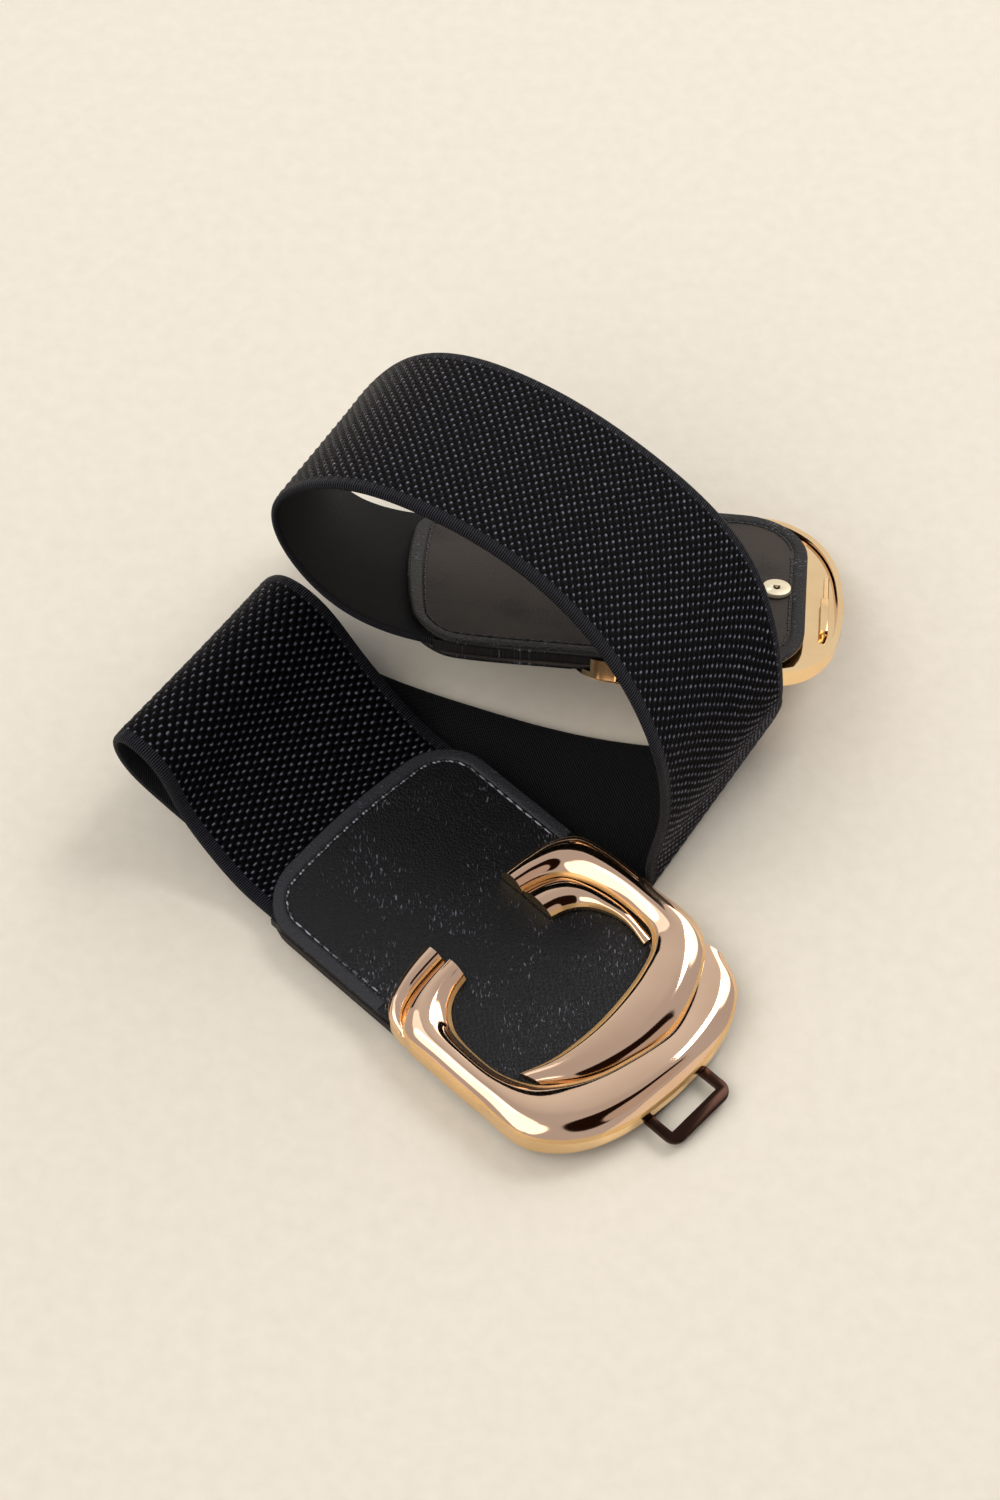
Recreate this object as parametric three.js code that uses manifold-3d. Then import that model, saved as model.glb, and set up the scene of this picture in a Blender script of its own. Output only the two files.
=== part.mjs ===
// Elastic stretch belt with a two-part buckle, lying as a loose spiral on a flat surface.
// Millimetres, +Z up. A woven elastic band carries a leather tab and a cast buckle half at each end.
// End A lies flat at the front with its outer face up. From it the elastic rolls under itself at the
// left, runs flat along the surface, rolls up at the right and comes back over the top as an arch,
// and after a wide loop end B lies behind with its lining up.
// The origin is the middle of the bounding box's underside.

import * as THREE from 'three';
import { mergeVertices } from 'three/addons/utils/BufferGeometryUtils.js';
import Module from 'manifold-3d';

const wasm = await Module();
wasm.setup();

// Clearance kept between pieces that touch on the real belt
const clearance = 0.3;

// Elastic band
const elasticWidth = 57;
const elasticThickness = 1.8;
const elasticTuck = 74; // length of elastic sewn inside each tab

// Leather tabs, measured from their root, where the elastic leaves them
const tabWidth = 60;
const tabLength = 87;
const frontThickness = 0.9;
const liningThickness = 0.9;
const rootRadius = 11;
const endRadius = 15;

// Buckle castings
const castingStart = 35; // from the tab's root to the casting's cut ends
const castingLength = 60.3;
const castingWidth = 62;
const castingHeight = 7.4; // from the foot of the side wall to the crest of the domes
const wallThickness = 1.2;

// Screw that clamps the tab to its casting
const screwFromEnd = 6.6; // from the tab's end to the screw's axis
const screwHeadRadius = 3.15;
const screwHeadHeight = 1;
const screwShankRadius = 1.6;
const screwGrip = 2; // how deep the shank reaches into the casting
const socketRadius = 0.9;
const socketDepth = 0.5;

// Catch loop of end A and hook of end B
const plateThickness = 1.2;
const loopWidth = 18.2;
const loopBar = 3;
const loopSide = 2.3;
const loopReach = 7.6; // how far the loop stands out of the casting
const plateTuck = 6.2; // how far loop and hook reach inside the casting's outer end
const hookWidth = 12.5;
const hookLip = 10;
const hookDepth = 3.6;
const hookInset = 3.2; // from the casting's outer end to the hook's lip

// The lie: places are shares of its reach in plan and of its rise over the surface
const lieReach = 100;
const lieRise = 66;

// Where the stiff ends lie: the root of tab A, and the start of casting B.
// Heading is the compass direction of each end's outer tip, lean the lift of its near edge.
const endA = { x: -0.327, y: -0.203, heading: -43.5 };
const endB = { x: 0.155, y: 0.335, rise: 0.25, heading: -6, lean: 20.5 };

// The elastic from tab A to casting B: the middle of the band, the compass direction of its near
// edge (swing), how far that edge is lifted (lean), both in degrees, and the share of its width that
// is left where it is drawn in against end B. Rise 0 lies on the surface.
const lie = [
  { x: -0.425, y: -0.11, rise: 0.13, swing: -132, lean: 0, drawn: 1 },
  { x: -0.5, y: -0.03, rise: 0.22, swing: -130, lean: 1, drawn: 1 },
  { x: -0.565, y: 0.03, rise: 0.345, swing: -127, lean: 4, drawn: 1 },
  { x: -0.64, y: 0.09, rise: 0.35, swing: -126, lean: 5, drawn: 1 },
  { x: -0.662, y: 0.11, rise: 0.22, swing: -121, lean: 4, drawn: 1 },
  { x: -0.595, y: 0.07, rise: 0.08, swing: -117, lean: 4, drawn: 1 },
  { x: -0.44, y: -0.035, rise: 0.01, swing: -116, lean: 1, drawn: 1 },
  { x: -0.17, y: -0.155, rise: 0, swing: -114, lean: 0, drawn: 1 },
  { x: 0.115, y: -0.24, rise: 0, swing: -115, lean: 0, drawn: 1 },
  { x: 0.315, y: -0.242, rise: 0, swing: -122, lean: 0, drawn: 1 },
  { x: 0.38, y: -0.212, rise: 0.03, swing: -125, lean: -3, drawn: 0.97 },
  { x: 0.43, y: -0.181, rise: 0.055, swing: -126, lean: -8, drawn: 0.94 },
  { x: 0.455, y: -0.166, rise: 0.11, swing: -126.5, lean: -12, drawn: 0.9 },
  { x: 0.457, y: -0.174, rise: 0.22, swing: -128, lean: -12, drawn: 0.85 },
  { x: 0.464, y: -0.179, rise: 0.4, swing: -127, lean: -4, drawn: 0.78 },
  { x: 0.459, y: -0.14, rise: 0.53, swing: -123, lean: 0, drawn: 0.82 },
  { x: 0.442, y: -0.082, rise: 0.615, swing: -117.5, lean: 5, drawn: 0.93 },
  { x: 0.396, y: 0.017, rise: 0.69, swing: -115, lean: 11, drawn: 1 },
  { x: 0.205, y: 0.2, rise: 0.87, swing: -113, lean: 17, drawn: 1 },
  { x: -0.04, y: 0.335, rise: 0.99, swing: -112, lean: 18, drawn: 1 },
  { x: -0.27, y: 0.42, rise: 0.96, swing: -111, lean: 20, drawn: 1 },
  { x: -0.383, y: 0.43, rise: 0.77, swing: -109, lean: 24, drawn: 1 },
  { x: -0.373, y: 0.37, rise: 0.46, swing: -90, lean: 27, drawn: 1 },
  { x: -0.165, y: 0.34, rise: 0.275, swing: -91, lean: 26, drawn: 1 },
];

// How finely the lie is drawn
const lieSteps = 124;
const acrossSteps = 4;
const lengthSamples = 900;

// Casting plan: each row is a section of one strand, from its outer edge to its inner edge.
// Along is a share of the casting's length from its cut ends, aside of its half width, and the
// heights of the edge, the crest and the inner edge are shares of its height over the wall's foot.
const strandOne = [
  { outAlong: 0, outAside: 0.36, inAlong: 0.1, inAside: 0.36, edge: 0.62, crest: 0.98, inner: 0.6 },
  { outAlong: 0.01, outAside: 0.56, inAlong: 0.12, inAside: 0.51, edge: 0.63, crest: 1, inner: 0.6 },
  { outAlong: 0.035, outAside: 0.79, inAlong: 0.15, inAside: 0.62, edge: 0.64, crest: 1, inner: 0.6 },
  { outAlong: 0.09, outAside: 0.94, inAlong: 0.21, inAside: 0.69, edge: 0.64, crest: 1, inner: 0.6 },
  { outAlong: 0.2, outAside: 0.99, inAlong: 0.29, inAside: 0.74, edge: 0.64, crest: 1, inner: 0.6 },
  { outAlong: 0.42, outAside: 1, inAlong: 0.42, inAside: 0.76, edge: 0.64, crest: 1, inner: 0.6 },
  { outAlong: 0.62, outAside: 0.99, inAlong: 0.53, inAside: 0.73, edge: 0.66, crest: 1, inner: 0.58 },
  { outAlong: 0.71, outAside: 0.89, inAlong: 0.585, inAside: 0.62, edge: 0.68, crest: 1, inner: 0.56 },
  { outAlong: 0.79, outAside: 0.66, inAlong: 0.62, inAside: 0.43, edge: 0.7, crest: 1, inner: 0.55 },
  { outAlong: 0.84, outAside: 0.36, inAlong: 0.64, inAside: 0.2, edge: 0.68, crest: 0.98, inner: 0.55 },
  { outAlong: 0.85, outAside: 0.1, inAlong: 0.647, inAside: -0.03, edge: 0.6, crest: 0.92, inner: 0.55 },
  { outAlong: 0.82, outAside: -0.15, inAlong: 0.64, inAside: -0.25, edge: 0.55, crest: 0.84, inner: 0.54 },
  { outAlong: 0.76, outAside: -0.39, inAlong: 0.62, inAside: -0.45, edge: 0.52, crest: 0.74, inner: 0.53 },
  { outAlong: 0.655, outAside: -0.61, inAlong: 0.577, inAside: -0.65, edge: 0.5, crest: 0.6, inner: 0.52 },
];
const strandTwo = [
  { outAlong: 0.087, outAside: -0.39, inAlong: 0.197, inAside: -0.39, edge: 0.62, crest: 0.98, inner: 0.58 },
  { outAlong: 0.094, outAside: -0.57, inAlong: 0.21, inAside: -0.51, edge: 0.63, crest: 1, inner: 0.58 },
  { outAlong: 0.11, outAside: -0.75, inAlong: 0.24, inAside: -0.62, edge: 0.64, crest: 1, inner: 0.58 },
  { outAlong: 0.14, outAside: -0.89, inAlong: 0.28, inAside: -0.69, edge: 0.64, crest: 1, inner: 0.58 },
  { outAlong: 0.19, outAside: -0.98, inAlong: 0.32, inAside: -0.73, edge: 0.64, crest: 1, inner: 0.58 },
  { outAlong: 0.35, outAside: -1, inAlong: 0.42, inAside: -0.755, edge: 0.64, crest: 1, inner: 0.58 },
  { outAlong: 0.555, outAside: -1, inAlong: 0.54, inAside: -0.74, edge: 0.64, crest: 1, inner: 0.58 },
  { outAlong: 0.75, outAside: -0.985, inAlong: 0.655, inAside: -0.64, edge: 0.62, crest: 1, inner: 0.62 },
  { outAlong: 0.857, outAside: -0.85, inAlong: 0.73, inAside: -0.49, edge: 0.56, crest: 1, inner: 0.7 },
  { outAlong: 0.928, outAside: -0.66, inAlong: 0.785, inAside: -0.305, edge: 0.48, crest: 1, inner: 0.76 },
  { outAlong: 0.975, outAside: -0.41, inAlong: 0.82, inAside: -0.08, edge: 0.4, crest: 1, inner: 0.78 },
  { outAlong: 0.995, outAside: -0.13, inAlong: 0.84, inAside: 0.115, edge: 0.36, crest: 0.97, inner: 0.74 },
  { outAlong: 1, outAside: 0.13, inAlong: 0.84, inAside: 0.295, edge: 0.36, crest: 0.9, inner: 0.62 },
  { outAlong: 0.99, outAside: 0.39, inAlong: 0.807, inAside: 0.49, edge: 0.38, crest: 0.82, inner: 0.54 },
  { outAlong: 0.955, outAside: 0.64, inAlong: 0.765, inAside: 0.655, edge: 0.42, crest: 0.76, inner: 0.52 },
  { outAlong: 0.88, outAside: 0.84, inAlong: 0.706, inAside: 0.787, edge: 0.46, crest: 0.7, inner: 0.5 },
  { outAlong: 0.765, outAside: 0.945, inAlong: 0.64, inAside: 0.885, edge: 0.5, crest: 0.62, inner: 0.5 },
];
const outerRib = [
  { outAlong: 0.01, outAside: -0.41, inAlong: 0.076, inAside: -0.4, edge: 0.62, crest: 0.9, inner: 0.66 },
  { outAlong: 0.018, outAside: -0.55, inAlong: 0.082, inAside: -0.55, edge: 0.62, crest: 0.9, inner: 0.66 },
  { outAlong: 0.037, outAside: -0.715, inAlong: 0.094, inAside: -0.72, edge: 0.62, crest: 0.88, inner: 0.66 },
  { outAlong: 0.064, outAside: -0.86, inAlong: 0.118, inAside: -0.86, edge: 0.62, crest: 0.84, inner: 0.64 },
  { outAlong: 0.11, outAside: -0.955, inAlong: 0.156, inAside: -0.925, edge: 0.6, crest: 0.74, inner: 0.62 },
  { outAlong: 0.185, outAside: -0.995, inAlong: 0.22, inAside: -0.95, edge: 0.56, crest: 0.6, inner: 0.58 },
];
const innerRib = [
  { outAlong: 0.136, outAside: 0.367, inAlong: 0.242, inAside: 0.354, edge: 0.62, crest: 0.9, inner: 0.62 },
  { outAlong: 0.166, outAside: 0.54, inAlong: 0.26, inAside: 0.46, edge: 0.62, crest: 0.9, inner: 0.62 },
  { outAlong: 0.224, outAside: 0.65, inAlong: 0.3, inAside: 0.565, edge: 0.62, crest: 0.88, inner: 0.62 },
  { outAlong: 0.32, outAside: 0.71, inAlong: 0.37, inAside: 0.643, edge: 0.6, crest: 0.82, inner: 0.6 },
  { outAlong: 0.437, outAside: 0.718, inAlong: 0.445, inAside: 0.67, edge: 0.56, crest: 0.7, inner: 0.58 },
  { outAlong: 0.563, outAside: 0.672, inAlong: 0.546, inAside: 0.635, edge: 0.54, crest: 0.58, inner: 0.54 },
];

// Levels in an end's own frame, whose zero is the middle of the elastic and whose +Z is the outer face
const frontLevel = elasticThickness / 2 + clearance;
const pocketTop = frontLevel + frontThickness + clearance;
const liningLevel = -elasticThickness / 2 - clearance;
const liningBack = liningLevel - liningThickness;
const wallFoot = liningLevel + clearance;
const endHeight = elasticThickness + clearance - liningBack;
const screwAlong = tabLength - screwFromEnd;
const castingEnd = castingStart + castingLength;

const radians = THREE.MathUtils.degToRad;

// A closed loft through rings of equally many points, with a fan over each end
function loft(rings) {
  const count = rings[0].length;
  const points = rings.flat();
  const triangles = [];
  for (let r = 0; r + 1 < rings.length; r += 1) {
    for (let k = 0; k < count; k += 1) {
      const next = (k + 1) % count;
      const a = r * count + k;
      const b = r * count + next;
      triangles.push(a, b, a + count, b, b + count, a + count);
    }
  }
  for (const ring of [rings[0], rings[rings.length - 1]]) {
    const middle = ring.reduce((sum, point) => sum.add(point), new THREE.Vector3()).divideScalar(count);
    const first = points.indexOf(ring[0]);
    points.push(middle);
    for (let k = 0; k < count; k += 1) {
      const edge = [first + k, first + (k + 1) % count];
      triangles.push(points.length - 1, ...(ring === rings[0] ? edge.reverse() : edge));
    }
  }
  return facingOut(points, triangles);
}

// An indexed geometry whose faces all point out of the body
function facingOut(points, triangles) {
  let volume = 0;
  for (let k = 0; k < triangles.length; k += 3) {
    const [a, b, c] = [points[triangles[k]], points[triangles[k + 1]], points[triangles[k + 2]]];
    volume += a.dot(new THREE.Vector3().crossVectors(b, c));
  }
  const geometry = new THREE.BufferGeometry().setFromPoints(points);
  geometry.setIndex(volume > 0 ? triangles : triangles.slice().reverse());
  return geometry;
}

// Geometry to solid and back, for joins and cuts
function solidOf(geometry) {
  const bare = geometry.clone();
  bare.deleteAttribute('normal');
  bare.deleteAttribute('uv');
  const merged = mergeVertices(bare, 1e-4);
  const mesh = new wasm.Mesh({
    numProp: 3,
    vertProperties: new Float32Array(merged.attributes.position.array),
    triVerts: new Uint32Array(merged.index.array),
  });
  return new wasm.Manifold(mesh);
}

function geometryOf(solid) {
  const mesh = solid.getMesh();
  const geometry = new THREE.BufferGeometry();
  geometry.setAttribute('position', new THREE.BufferAttribute(new Float32Array(mesh.vertProperties), 3));
  geometry.setIndex(new THREE.BufferAttribute(new Uint32Array(mesh.triVerts), 1));
  geometry.computeVertexNormals();
  return geometry;
}

// A flat plate cut from an outline in the end's frame, between two levels
function plate(shape, bottom, top) {
  const geometry = new THREE.ExtrudeGeometry(shape, { depth: top - bottom, bevelEnabled: false });
  return geometry.translate(0, 0, bottom);
}

function rectangle(fromAlong, toAlong, fromAside, toAside) {
  return new THREE.Shape([
    new THREE.Vector2(fromAlong, fromAside),
    new THREE.Vector2(toAlong, fromAside),
    new THREE.Vector2(toAlong, toAside),
    new THREE.Vector2(fromAlong, toAside),
  ]);
}

// A round pin along the end's Z axis at the screw's place
function pin(radius, bottom, top, sides) {
  const geometry = new THREE.CylinderGeometry(radius, radius, top - bottom, sides);
  return geometry.rotateX(Math.PI / 2).translate(screwAlong, 0, (bottom + top) / 2);
}

// A smooth curve through values at rising knots, with the given slope at each end
function smoothCurve(knots, values, startSlope, endSlope) {
  const last = knots.length - 1;
  const span = knots.slice(1).map((knot, k) => knot - knots[k]);
  const rise = span.map((width, k) => (values[k + 1] - values[k]) / width);
  const slope = [startSlope];
  const carry = [0];
  for (let k = 1; k < last; k += 1) {
    const diagonal = 2 / span[k - 1] + 2 / span[k] - carry[k - 1] / span[k - 1];
    const right = 3 * (rise[k - 1] / span[k - 1] + rise[k] / span[k]) - slope[k - 1] / span[k - 1];
    carry.push(1 / span[k] / diagonal);
    slope.push(right / diagonal);
  }
  slope.push(endSlope);
  for (let k = last - 1; k > 0; k -= 1) {
    slope[k] -= carry[k] * slope[k + 1];
  }
  return (at) => {
    let k = 0;
    while (k < last - 1 && at > knots[k + 1]) k += 1;
    const u = (at - knots[k]) / span[k];
    const lift = values[k] * (1 + 2 * u) * (1 - u) ** 2 + values[k + 1] * u * u * (3 - 2 * u);
    return lift + span[k] * u * (1 - u) * (slope[k] * (1 - u) - slope[k + 1] * u);
  };
}

function compass(heading, lean = 0) {
  const flat = Math.cos(radians(lean));
  return new THREE.Vector3(
    flat * Math.cos(radians(heading)), flat * Math.sin(radians(heading)), Math.sin(radians(lean)));
}

// The band's middle line and near-edge direction at every station. Station 0 is the root of tab A,
// and the straight ends run on past both ends of the curve.
function layBand() {
  const middles = [
    new THREE.Vector3(endA.x * lieReach, endA.y * lieReach, endHeight),
    ...lie.map((row) => new THREE.Vector3(row.x * lieReach, row.y * lieReach, row.rise * lieRise)),
    new THREE.Vector3(endB.x * lieReach, endB.y * lieReach, endB.rise * lieRise),
  ];
  const sides = [
    compass(endA.heading - 90),
    ...lie.map((row) => compass(row.swing, row.lean).multiplyScalar(row.drawn)),
    compass(endB.heading - 90, endB.lean),
  ];
  const leaving = compass(endA.heading).negate();
  const arriving = compass(endB.heading);
  const knots = [0];
  for (let k = 1; k < middles.length; k += 1) {
    knots.push(knots[k - 1] + middles[k].distanceTo(middles[k - 1]));
  }
  const axes = ['x', 'y', 'z'];
  const middleCurves = axes.map(
    (axis) => smoothCurve(knots, middles.map((point) => point[axis]), leaving[axis], arriving[axis]));
  const sideCurves = axes.map((axis) => smoothCurve(knots, sides.map((side) => side[axis]), 0, 0));
  const read = (curves, knot) => new THREE.Vector3(...curves.map((curve) => curve(knot)));

  const lastKnot = knots[knots.length - 1];
  const samples = Array.from({ length: lengthSamples + 1 }, (_, k) => lastKnot * k / lengthSamples);
  const lengths = [0];
  for (let k = 1; k < samples.length; k += 1) {
    const step = read(middleCurves, samples[k]).distanceTo(read(middleCurves, samples[k - 1]));
    lengths.push(lengths[k - 1] + step);
  }
  const length = lengths[lengthSamples];

  const knotAt = (station) => {
    let k = 0;
    while (k < lengthSamples - 1 && lengths[k + 1] < station) k += 1;
    return samples[k] + (samples[k + 1] - samples[k]) * (station - lengths[k]) / (lengths[k + 1] - lengths[k]);
  };
  const place = (station) => {
    const inside = THREE.MathUtils.clamp(station, 0, length);
    const knot = knotAt(inside);
    const middle = read(middleCurves, knot);
    const before = read(middleCurves, Math.max(knot - 0.05, 0));
    const after = read(middleCurves, Math.min(knot + 0.05, lastKnot));
    let along = after.sub(before).normalize();
    if (station <= 0) along = leaving.clone();
    if (station >= length) along = arriving.clone();
    middle.addScaledVector(along, station - inside);
    const side = read(sideCurves, knot);
    return { middle, along, side, outer: new THREE.Vector3().crossVectors(along, side).normalize() };
  };
  return { place, length };
}

const band = layBand();
const rootStationB = band.length - castingStart;

// A strip of the band through the given stations. Where it would dip under the surface that the
// belt lies on, it lies flat on that surface instead.
function strip(stations, halfWidthAt, bottom, top) {
  const rings = stations.map((station) => {
    const { middle, side, outer } = band.place(station);
    const half = halfWidthAt(station);
    const back = [];
    const face = [];
    for (let k = 0; k <= acrossSteps; k += 1) {
      const point = middle.clone().addScaledVector(side, half * (2 * k / acrossSteps - 1));
      const rests = point.z < elasticThickness / 2;
      const normal = rests ? new THREE.Vector3(0, 0, Math.sign(outer.z)) : outer;
      if (rests) point.z = elasticThickness / 2;
      back.push(point.clone().addScaledVector(normal, bottom));
      face.unshift(point.clone().addScaledVector(normal, top));
    }
    return [...back, ...face];
  });
  return loft(rings);
}

const steps = (from, to, count) => Array.from({ length: count + 1 }, (_, k) => from + (to - from) * k / count);

// Distances from a tab's root at which both the tab and the elastic inside it have a section
const cornerShares = [0, 0.08, 0.3, 0.6, 1];
const tabStarts = [
  ...cornerShares.map((share) => share * rootRadius),
  ...steps(rootRadius, castingStart, 6).slice(1),
];

function elasticBand() {
  const stations = [
    -elasticTuck,
    ...steps(0, rootStationB, lieSteps).slice(0, -1),
    ...tabStarts.map((along) => rootStationB + along),
    rootStationB + elasticTuck,
  ];
  return strip(stations, () => elasticWidth / 2, -elasticThickness / 2, elasticThickness / 2);
}

// Half width of a tab at a distance from its root, with both ends' corners rounded
function roundedHalf(along, half, length) {
  const fromRoot = Math.max(rootRadius - along, 0);
  const fromEnd = Math.max(endRadius - (length - along), 0);
  const rootLoss = rootRadius - Math.sqrt(rootRadius ** 2 - fromRoot ** 2);
  const endLoss = endRadius - Math.sqrt(endRadius ** 2 - fromEnd ** 2);
  return half - rootLoss - endLoss;
}

// One leather layer of a tab. Inside the casting it is as narrow as insideHalf.
function tabLayer(end, length, insideHalf, bottom, top) {
  const narrowFrom = castingStart + wallThickness * 4;
  const narrowTo = narrowFrom + wallThickness;
  const alongs = [
    ...tabStarts,
    narrowFrom,
    ...steps(narrowTo, length - endRadius, 2),
    ...cornerShares.map((share) => length - share * endRadius).reverse().slice(1),
  ];
  const halfAt = (along) => {
    const half = along > narrowFrom ? insideHalf : tabWidth / 2;
    return roundedHalf(along, half, length);
  };
  const stationOf = (along) => (end === 'a' ? -along : rootStationB + along);
  const alongOf = (station) => (end === 'a' ? -station : station - rootStationB);
  return strip(alongs.map(stationOf), (station) => halfAt(alongOf(station)), bottom, top);
}

// The screw's hole through a tab layer
function boreThrough(geometry, end) {
  const hole = pin(screwShankRadius + clearance, liningBack - castingHeight, castingHeight * 2, 16);
  return geometryOf(solidOf(geometry).subtract(solidOf(hole.applyMatrix4(endMatrix(end)))));
}

// The frame of a stiff end: X out along the belt, Z the outer face, zero at the tab's root
function endMatrix(end) {
  const { middle, along, outer } = band.place(end === 'a' ? 0 : band.length);
  const out = end === 'a' ? along.clone().negate() : along;
  const matrix = new THREE.Matrix4().makeBasis(out, new THREE.Vector3().crossVectors(outer, out), outer);
  const origin = end === 'a' ? middle : middle.clone().addScaledVector(out, -castingStart);
  return matrix.setPosition(origin);
}

// One domed strand of the casting, lofted through its rows
const domeShares = [0, 0.12, 0.27, 0.45, 0.65, 0.84, 1];
const crestShare = 0.42;

function strandRings(rows, perRow) {
  const level = (share) => wallFoot + share * castingHeight;
  const spot = (along, aside, height) => new THREE.Vector3(
    castingStart + along * castingLength, aside * castingWidth / 2, level(height));
  const curve = (points) => new THREE.CatmullRomCurve3(points, false, 'centripetal');
  const outerEdge = curve(rows.map((row) => spot(row.outAlong, row.outAside, row.edge)));
  const innerEdge = curve(rows.map((row) => spot(row.inAlong, row.inAside, row.inner)));
  const crests = curve(rows.map((row, k) => new THREE.Vector3(k, 0, level(row.crest))));
  return steps(0, 1, (rows.length - 1) * perRow).map((at) => {
    const outer = outerEdge.getPoint(at);
    const inner = innerEdge.getPoint(at);
    const crest = crests.getPoint(at).z;
    return { outer, inner, crest };
  });
}

function strand(rows, perRow) {
  const rings = strandRings(rows, perRow).map(({ outer, inner, crest }) => {
    const dome = domeShares.map((share) => {
      const point = outer.clone().lerp(inner, share);
      const edge = share < crestShare ? outer.z : inner.z;
      const away = share < crestShare ? 1 - share / crestShare : (share - crestShare) / (1 - crestShare);
      point.z = crest - (crest - edge) * away ** 2.2;
      return point;
    });
    const foot = (point) => new THREE.Vector3(point.x, point.y, wallFoot);
    return [foot(outer), ...dome, foot(inner)];
  });
  return solidOf(loft(rings));
}

// A low web that joins a rib to the strand beside it, under the groove between them
function web(rows, from, to) {
  const top = pocketTop + wallThickness / 2;
  const rings = strandRings(rows, 2).map(({ outer, inner }) => {
    const [start, end] = [from, to].map((share) => outer.clone().lerp(inner, share));
    return [
      new THREE.Vector3(start.x, start.y, wallFoot), new THREE.Vector3(start.x, start.y, top),
      new THREE.Vector3(end.x, end.y, top), new THREE.Vector3(end.x, end.y, wallFoot),
    ];
  });
  return solidOf(loft(rings));
}

// The hollow behind the casting, in which the leather's end lies, open towards the belt
function pocket() {
  const shrinkAlong = 1 - wallThickness / castingLength;
  const shrinkAside = 1 - 2 * wallThickness / castingWidth;
  const rounded = strandRings(strandTwo.slice(6), 2).map(({ outer }) => new THREE.Vector2(
    castingStart + (outer.x - castingStart) * shrinkAlong, outer.y * shrinkAside));
  const half = castingWidth / 2 - wallThickness;
  const outline = new THREE.Shape([
    new THREE.Vector2(0, -half), ...rounded, new THREE.Vector2(rounded.at(-1).x - rootRadius / 2, half),
    new THREE.Vector2(0, half),
  ]);
  return solidOf(plate(outline, wallFoot - castingHeight, pocketTop));
}

function castingGeometry() {
  const shank = pin(screwShankRadius + clearance, wallFoot, pocketTop + screwGrip + clearance, 16);
  const body = strand(strandOne, 3)
    .add(strand(strandTwo, 3))
    .add(strand(outerRib, 2))
    .add(strand(innerRib, 2))
    .add(web(outerRib, 0.3, 1.7))
    .add(web(innerRib, -0.6, 0.7))
    .subtract(pocket())
    .subtract(solidOf(shank));
  return geometryOf(body);
}

function screwGeometry() {
  const seat = liningBack - clearance;
  const head = pin(screwHeadRadius, seat - screwHeadHeight, seat, 24);
  const shank = pin(screwShankRadius, seat - screwHeadHeight / 2, pocketTop + screwGrip, 12);
  const socket = pin(socketRadius, seat - screwHeadHeight * 2, seat - screwHeadHeight + socketDepth, 6);
  return geometryOf(solidOf(head).add(solidOf(shank)).subtract(solidOf(socket)));
}

// Stamped loop that the hook of the other end catches
function catchLoopGeometry() {
  const inside = castingEnd - plateTuck;
  const tip = castingEnd + loopReach;
  const half = loopWidth / 2;
  const outline = new THREE.Shape();
  outline.moveTo(inside, -half);
  outline.lineTo(tip - loopBar, -half);
  outline.absarc(tip - loopBar, -half + loopBar, loopBar, -Math.PI / 2, 0, false);
  outline.absarc(tip - loopBar, half - loopBar, loopBar, 0, Math.PI / 2, false);
  outline.lineTo(inside, half);
  outline.closePath();
  const hole = rectangle(castingEnd - clearance, tip - loopBar, -half + loopSide, half - loopSide);
  outline.holes.push(new THREE.Path(hole.getPoints().reverse()));
  const top = liningLevel;
  const geometry = new THREE.ExtrudeGeometry(
    outline, { depth: plateThickness, bevelEnabled: false, curveSegments: 5 });
  return geometry.translate(0, 0, top - plateThickness);
}

// Folded plate that catches the loop: a base, a lip and a tongue turned back over the base
function hookGeometry() {
  const base = pocketTop - clearance;
  const back = castingEnd - hookInset;
  const lipFrom = back - plateThickness;
  const inside = castingEnd - plateTuck;
  const floor = base - hookDepth;
  const side = (fromAlong, toAlong, bottom, top, fromAside, toAside) => solidOf(
    plate(rectangle(fromAlong, toAlong, fromAside, toAside), bottom, top));
  const body = side(inside, back, base - plateThickness, base, -hookLip, hookWidth)
    .add(side(lipFrom, back, floor + plateThickness, base, -hookLip, hookWidth))
    .add(side(inside + plateThickness, back, floor, floor + plateThickness, 0, hookWidth));
  return geometryOf(body);
}

const finish = {
  elastic: new THREE.MeshStandardMaterial({ color: '#0c0c10', roughness: 0.8, metalness: 0 }),
  leather: new THREE.MeshStandardMaterial({ color: '#1b1b1f', roughness: 0.45, metalness: 0 }),
  lining: new THREE.MeshStandardMaterial({ color: '#3a3531', roughness: 0.7, metalness: 0 }),
  gold: new THREE.MeshStandardMaterial({ color: '#e8c48c', roughness: 0.12, metalness: 1 }),
  bronze: new THREE.MeshStandardMaterial({ color: '#8a6a48', roughness: 0.2, metalness: 1 }),
};

function named(name, geometry, material) {
  const mesh = new THREE.Mesh(geometry, material);
  mesh.name = name;
  return mesh;
}

// Pieces of one end that lie in its stiff frame
function stiffEnd(end, extra) {
  const group = new THREE.Group();
  group.add(named(`buckle_half_${end}`, castingGeometry(), finish.gold));
  group.add(named(`screw_${end}`, screwGeometry(), finish.gold));
  group.add(extra);
  endMatrix(end).decompose(group.position, group.quaternion, group.scale);
  return group;
}

const belt = new THREE.Group();
const insideHalf = castingWidth / 2 - wallThickness - clearance;
belt.add(named('elastic_band', elasticBand(), finish.elastic));
for (const end of ['a', 'b']) {
  const front = tabLayer(end, tabLength - clearance, insideHalf, frontLevel, frontLevel + frontThickness);
  const lining = tabLayer(end, tabLength, tabWidth / 2, liningBack, liningLevel);
  belt.add(named(`tab_front_${end}`, boreThrough(front, end), finish.leather));
  belt.add(named(`tab_lining_${end}`, boreThrough(lining, end), finish.lining));
}
belt.add(stiffEnd('a', named('catch_loop', catchLoopGeometry(), finish.bronze)));
belt.add(stiffEnd('b', named('hook', hookGeometry(), finish.gold)));

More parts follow.
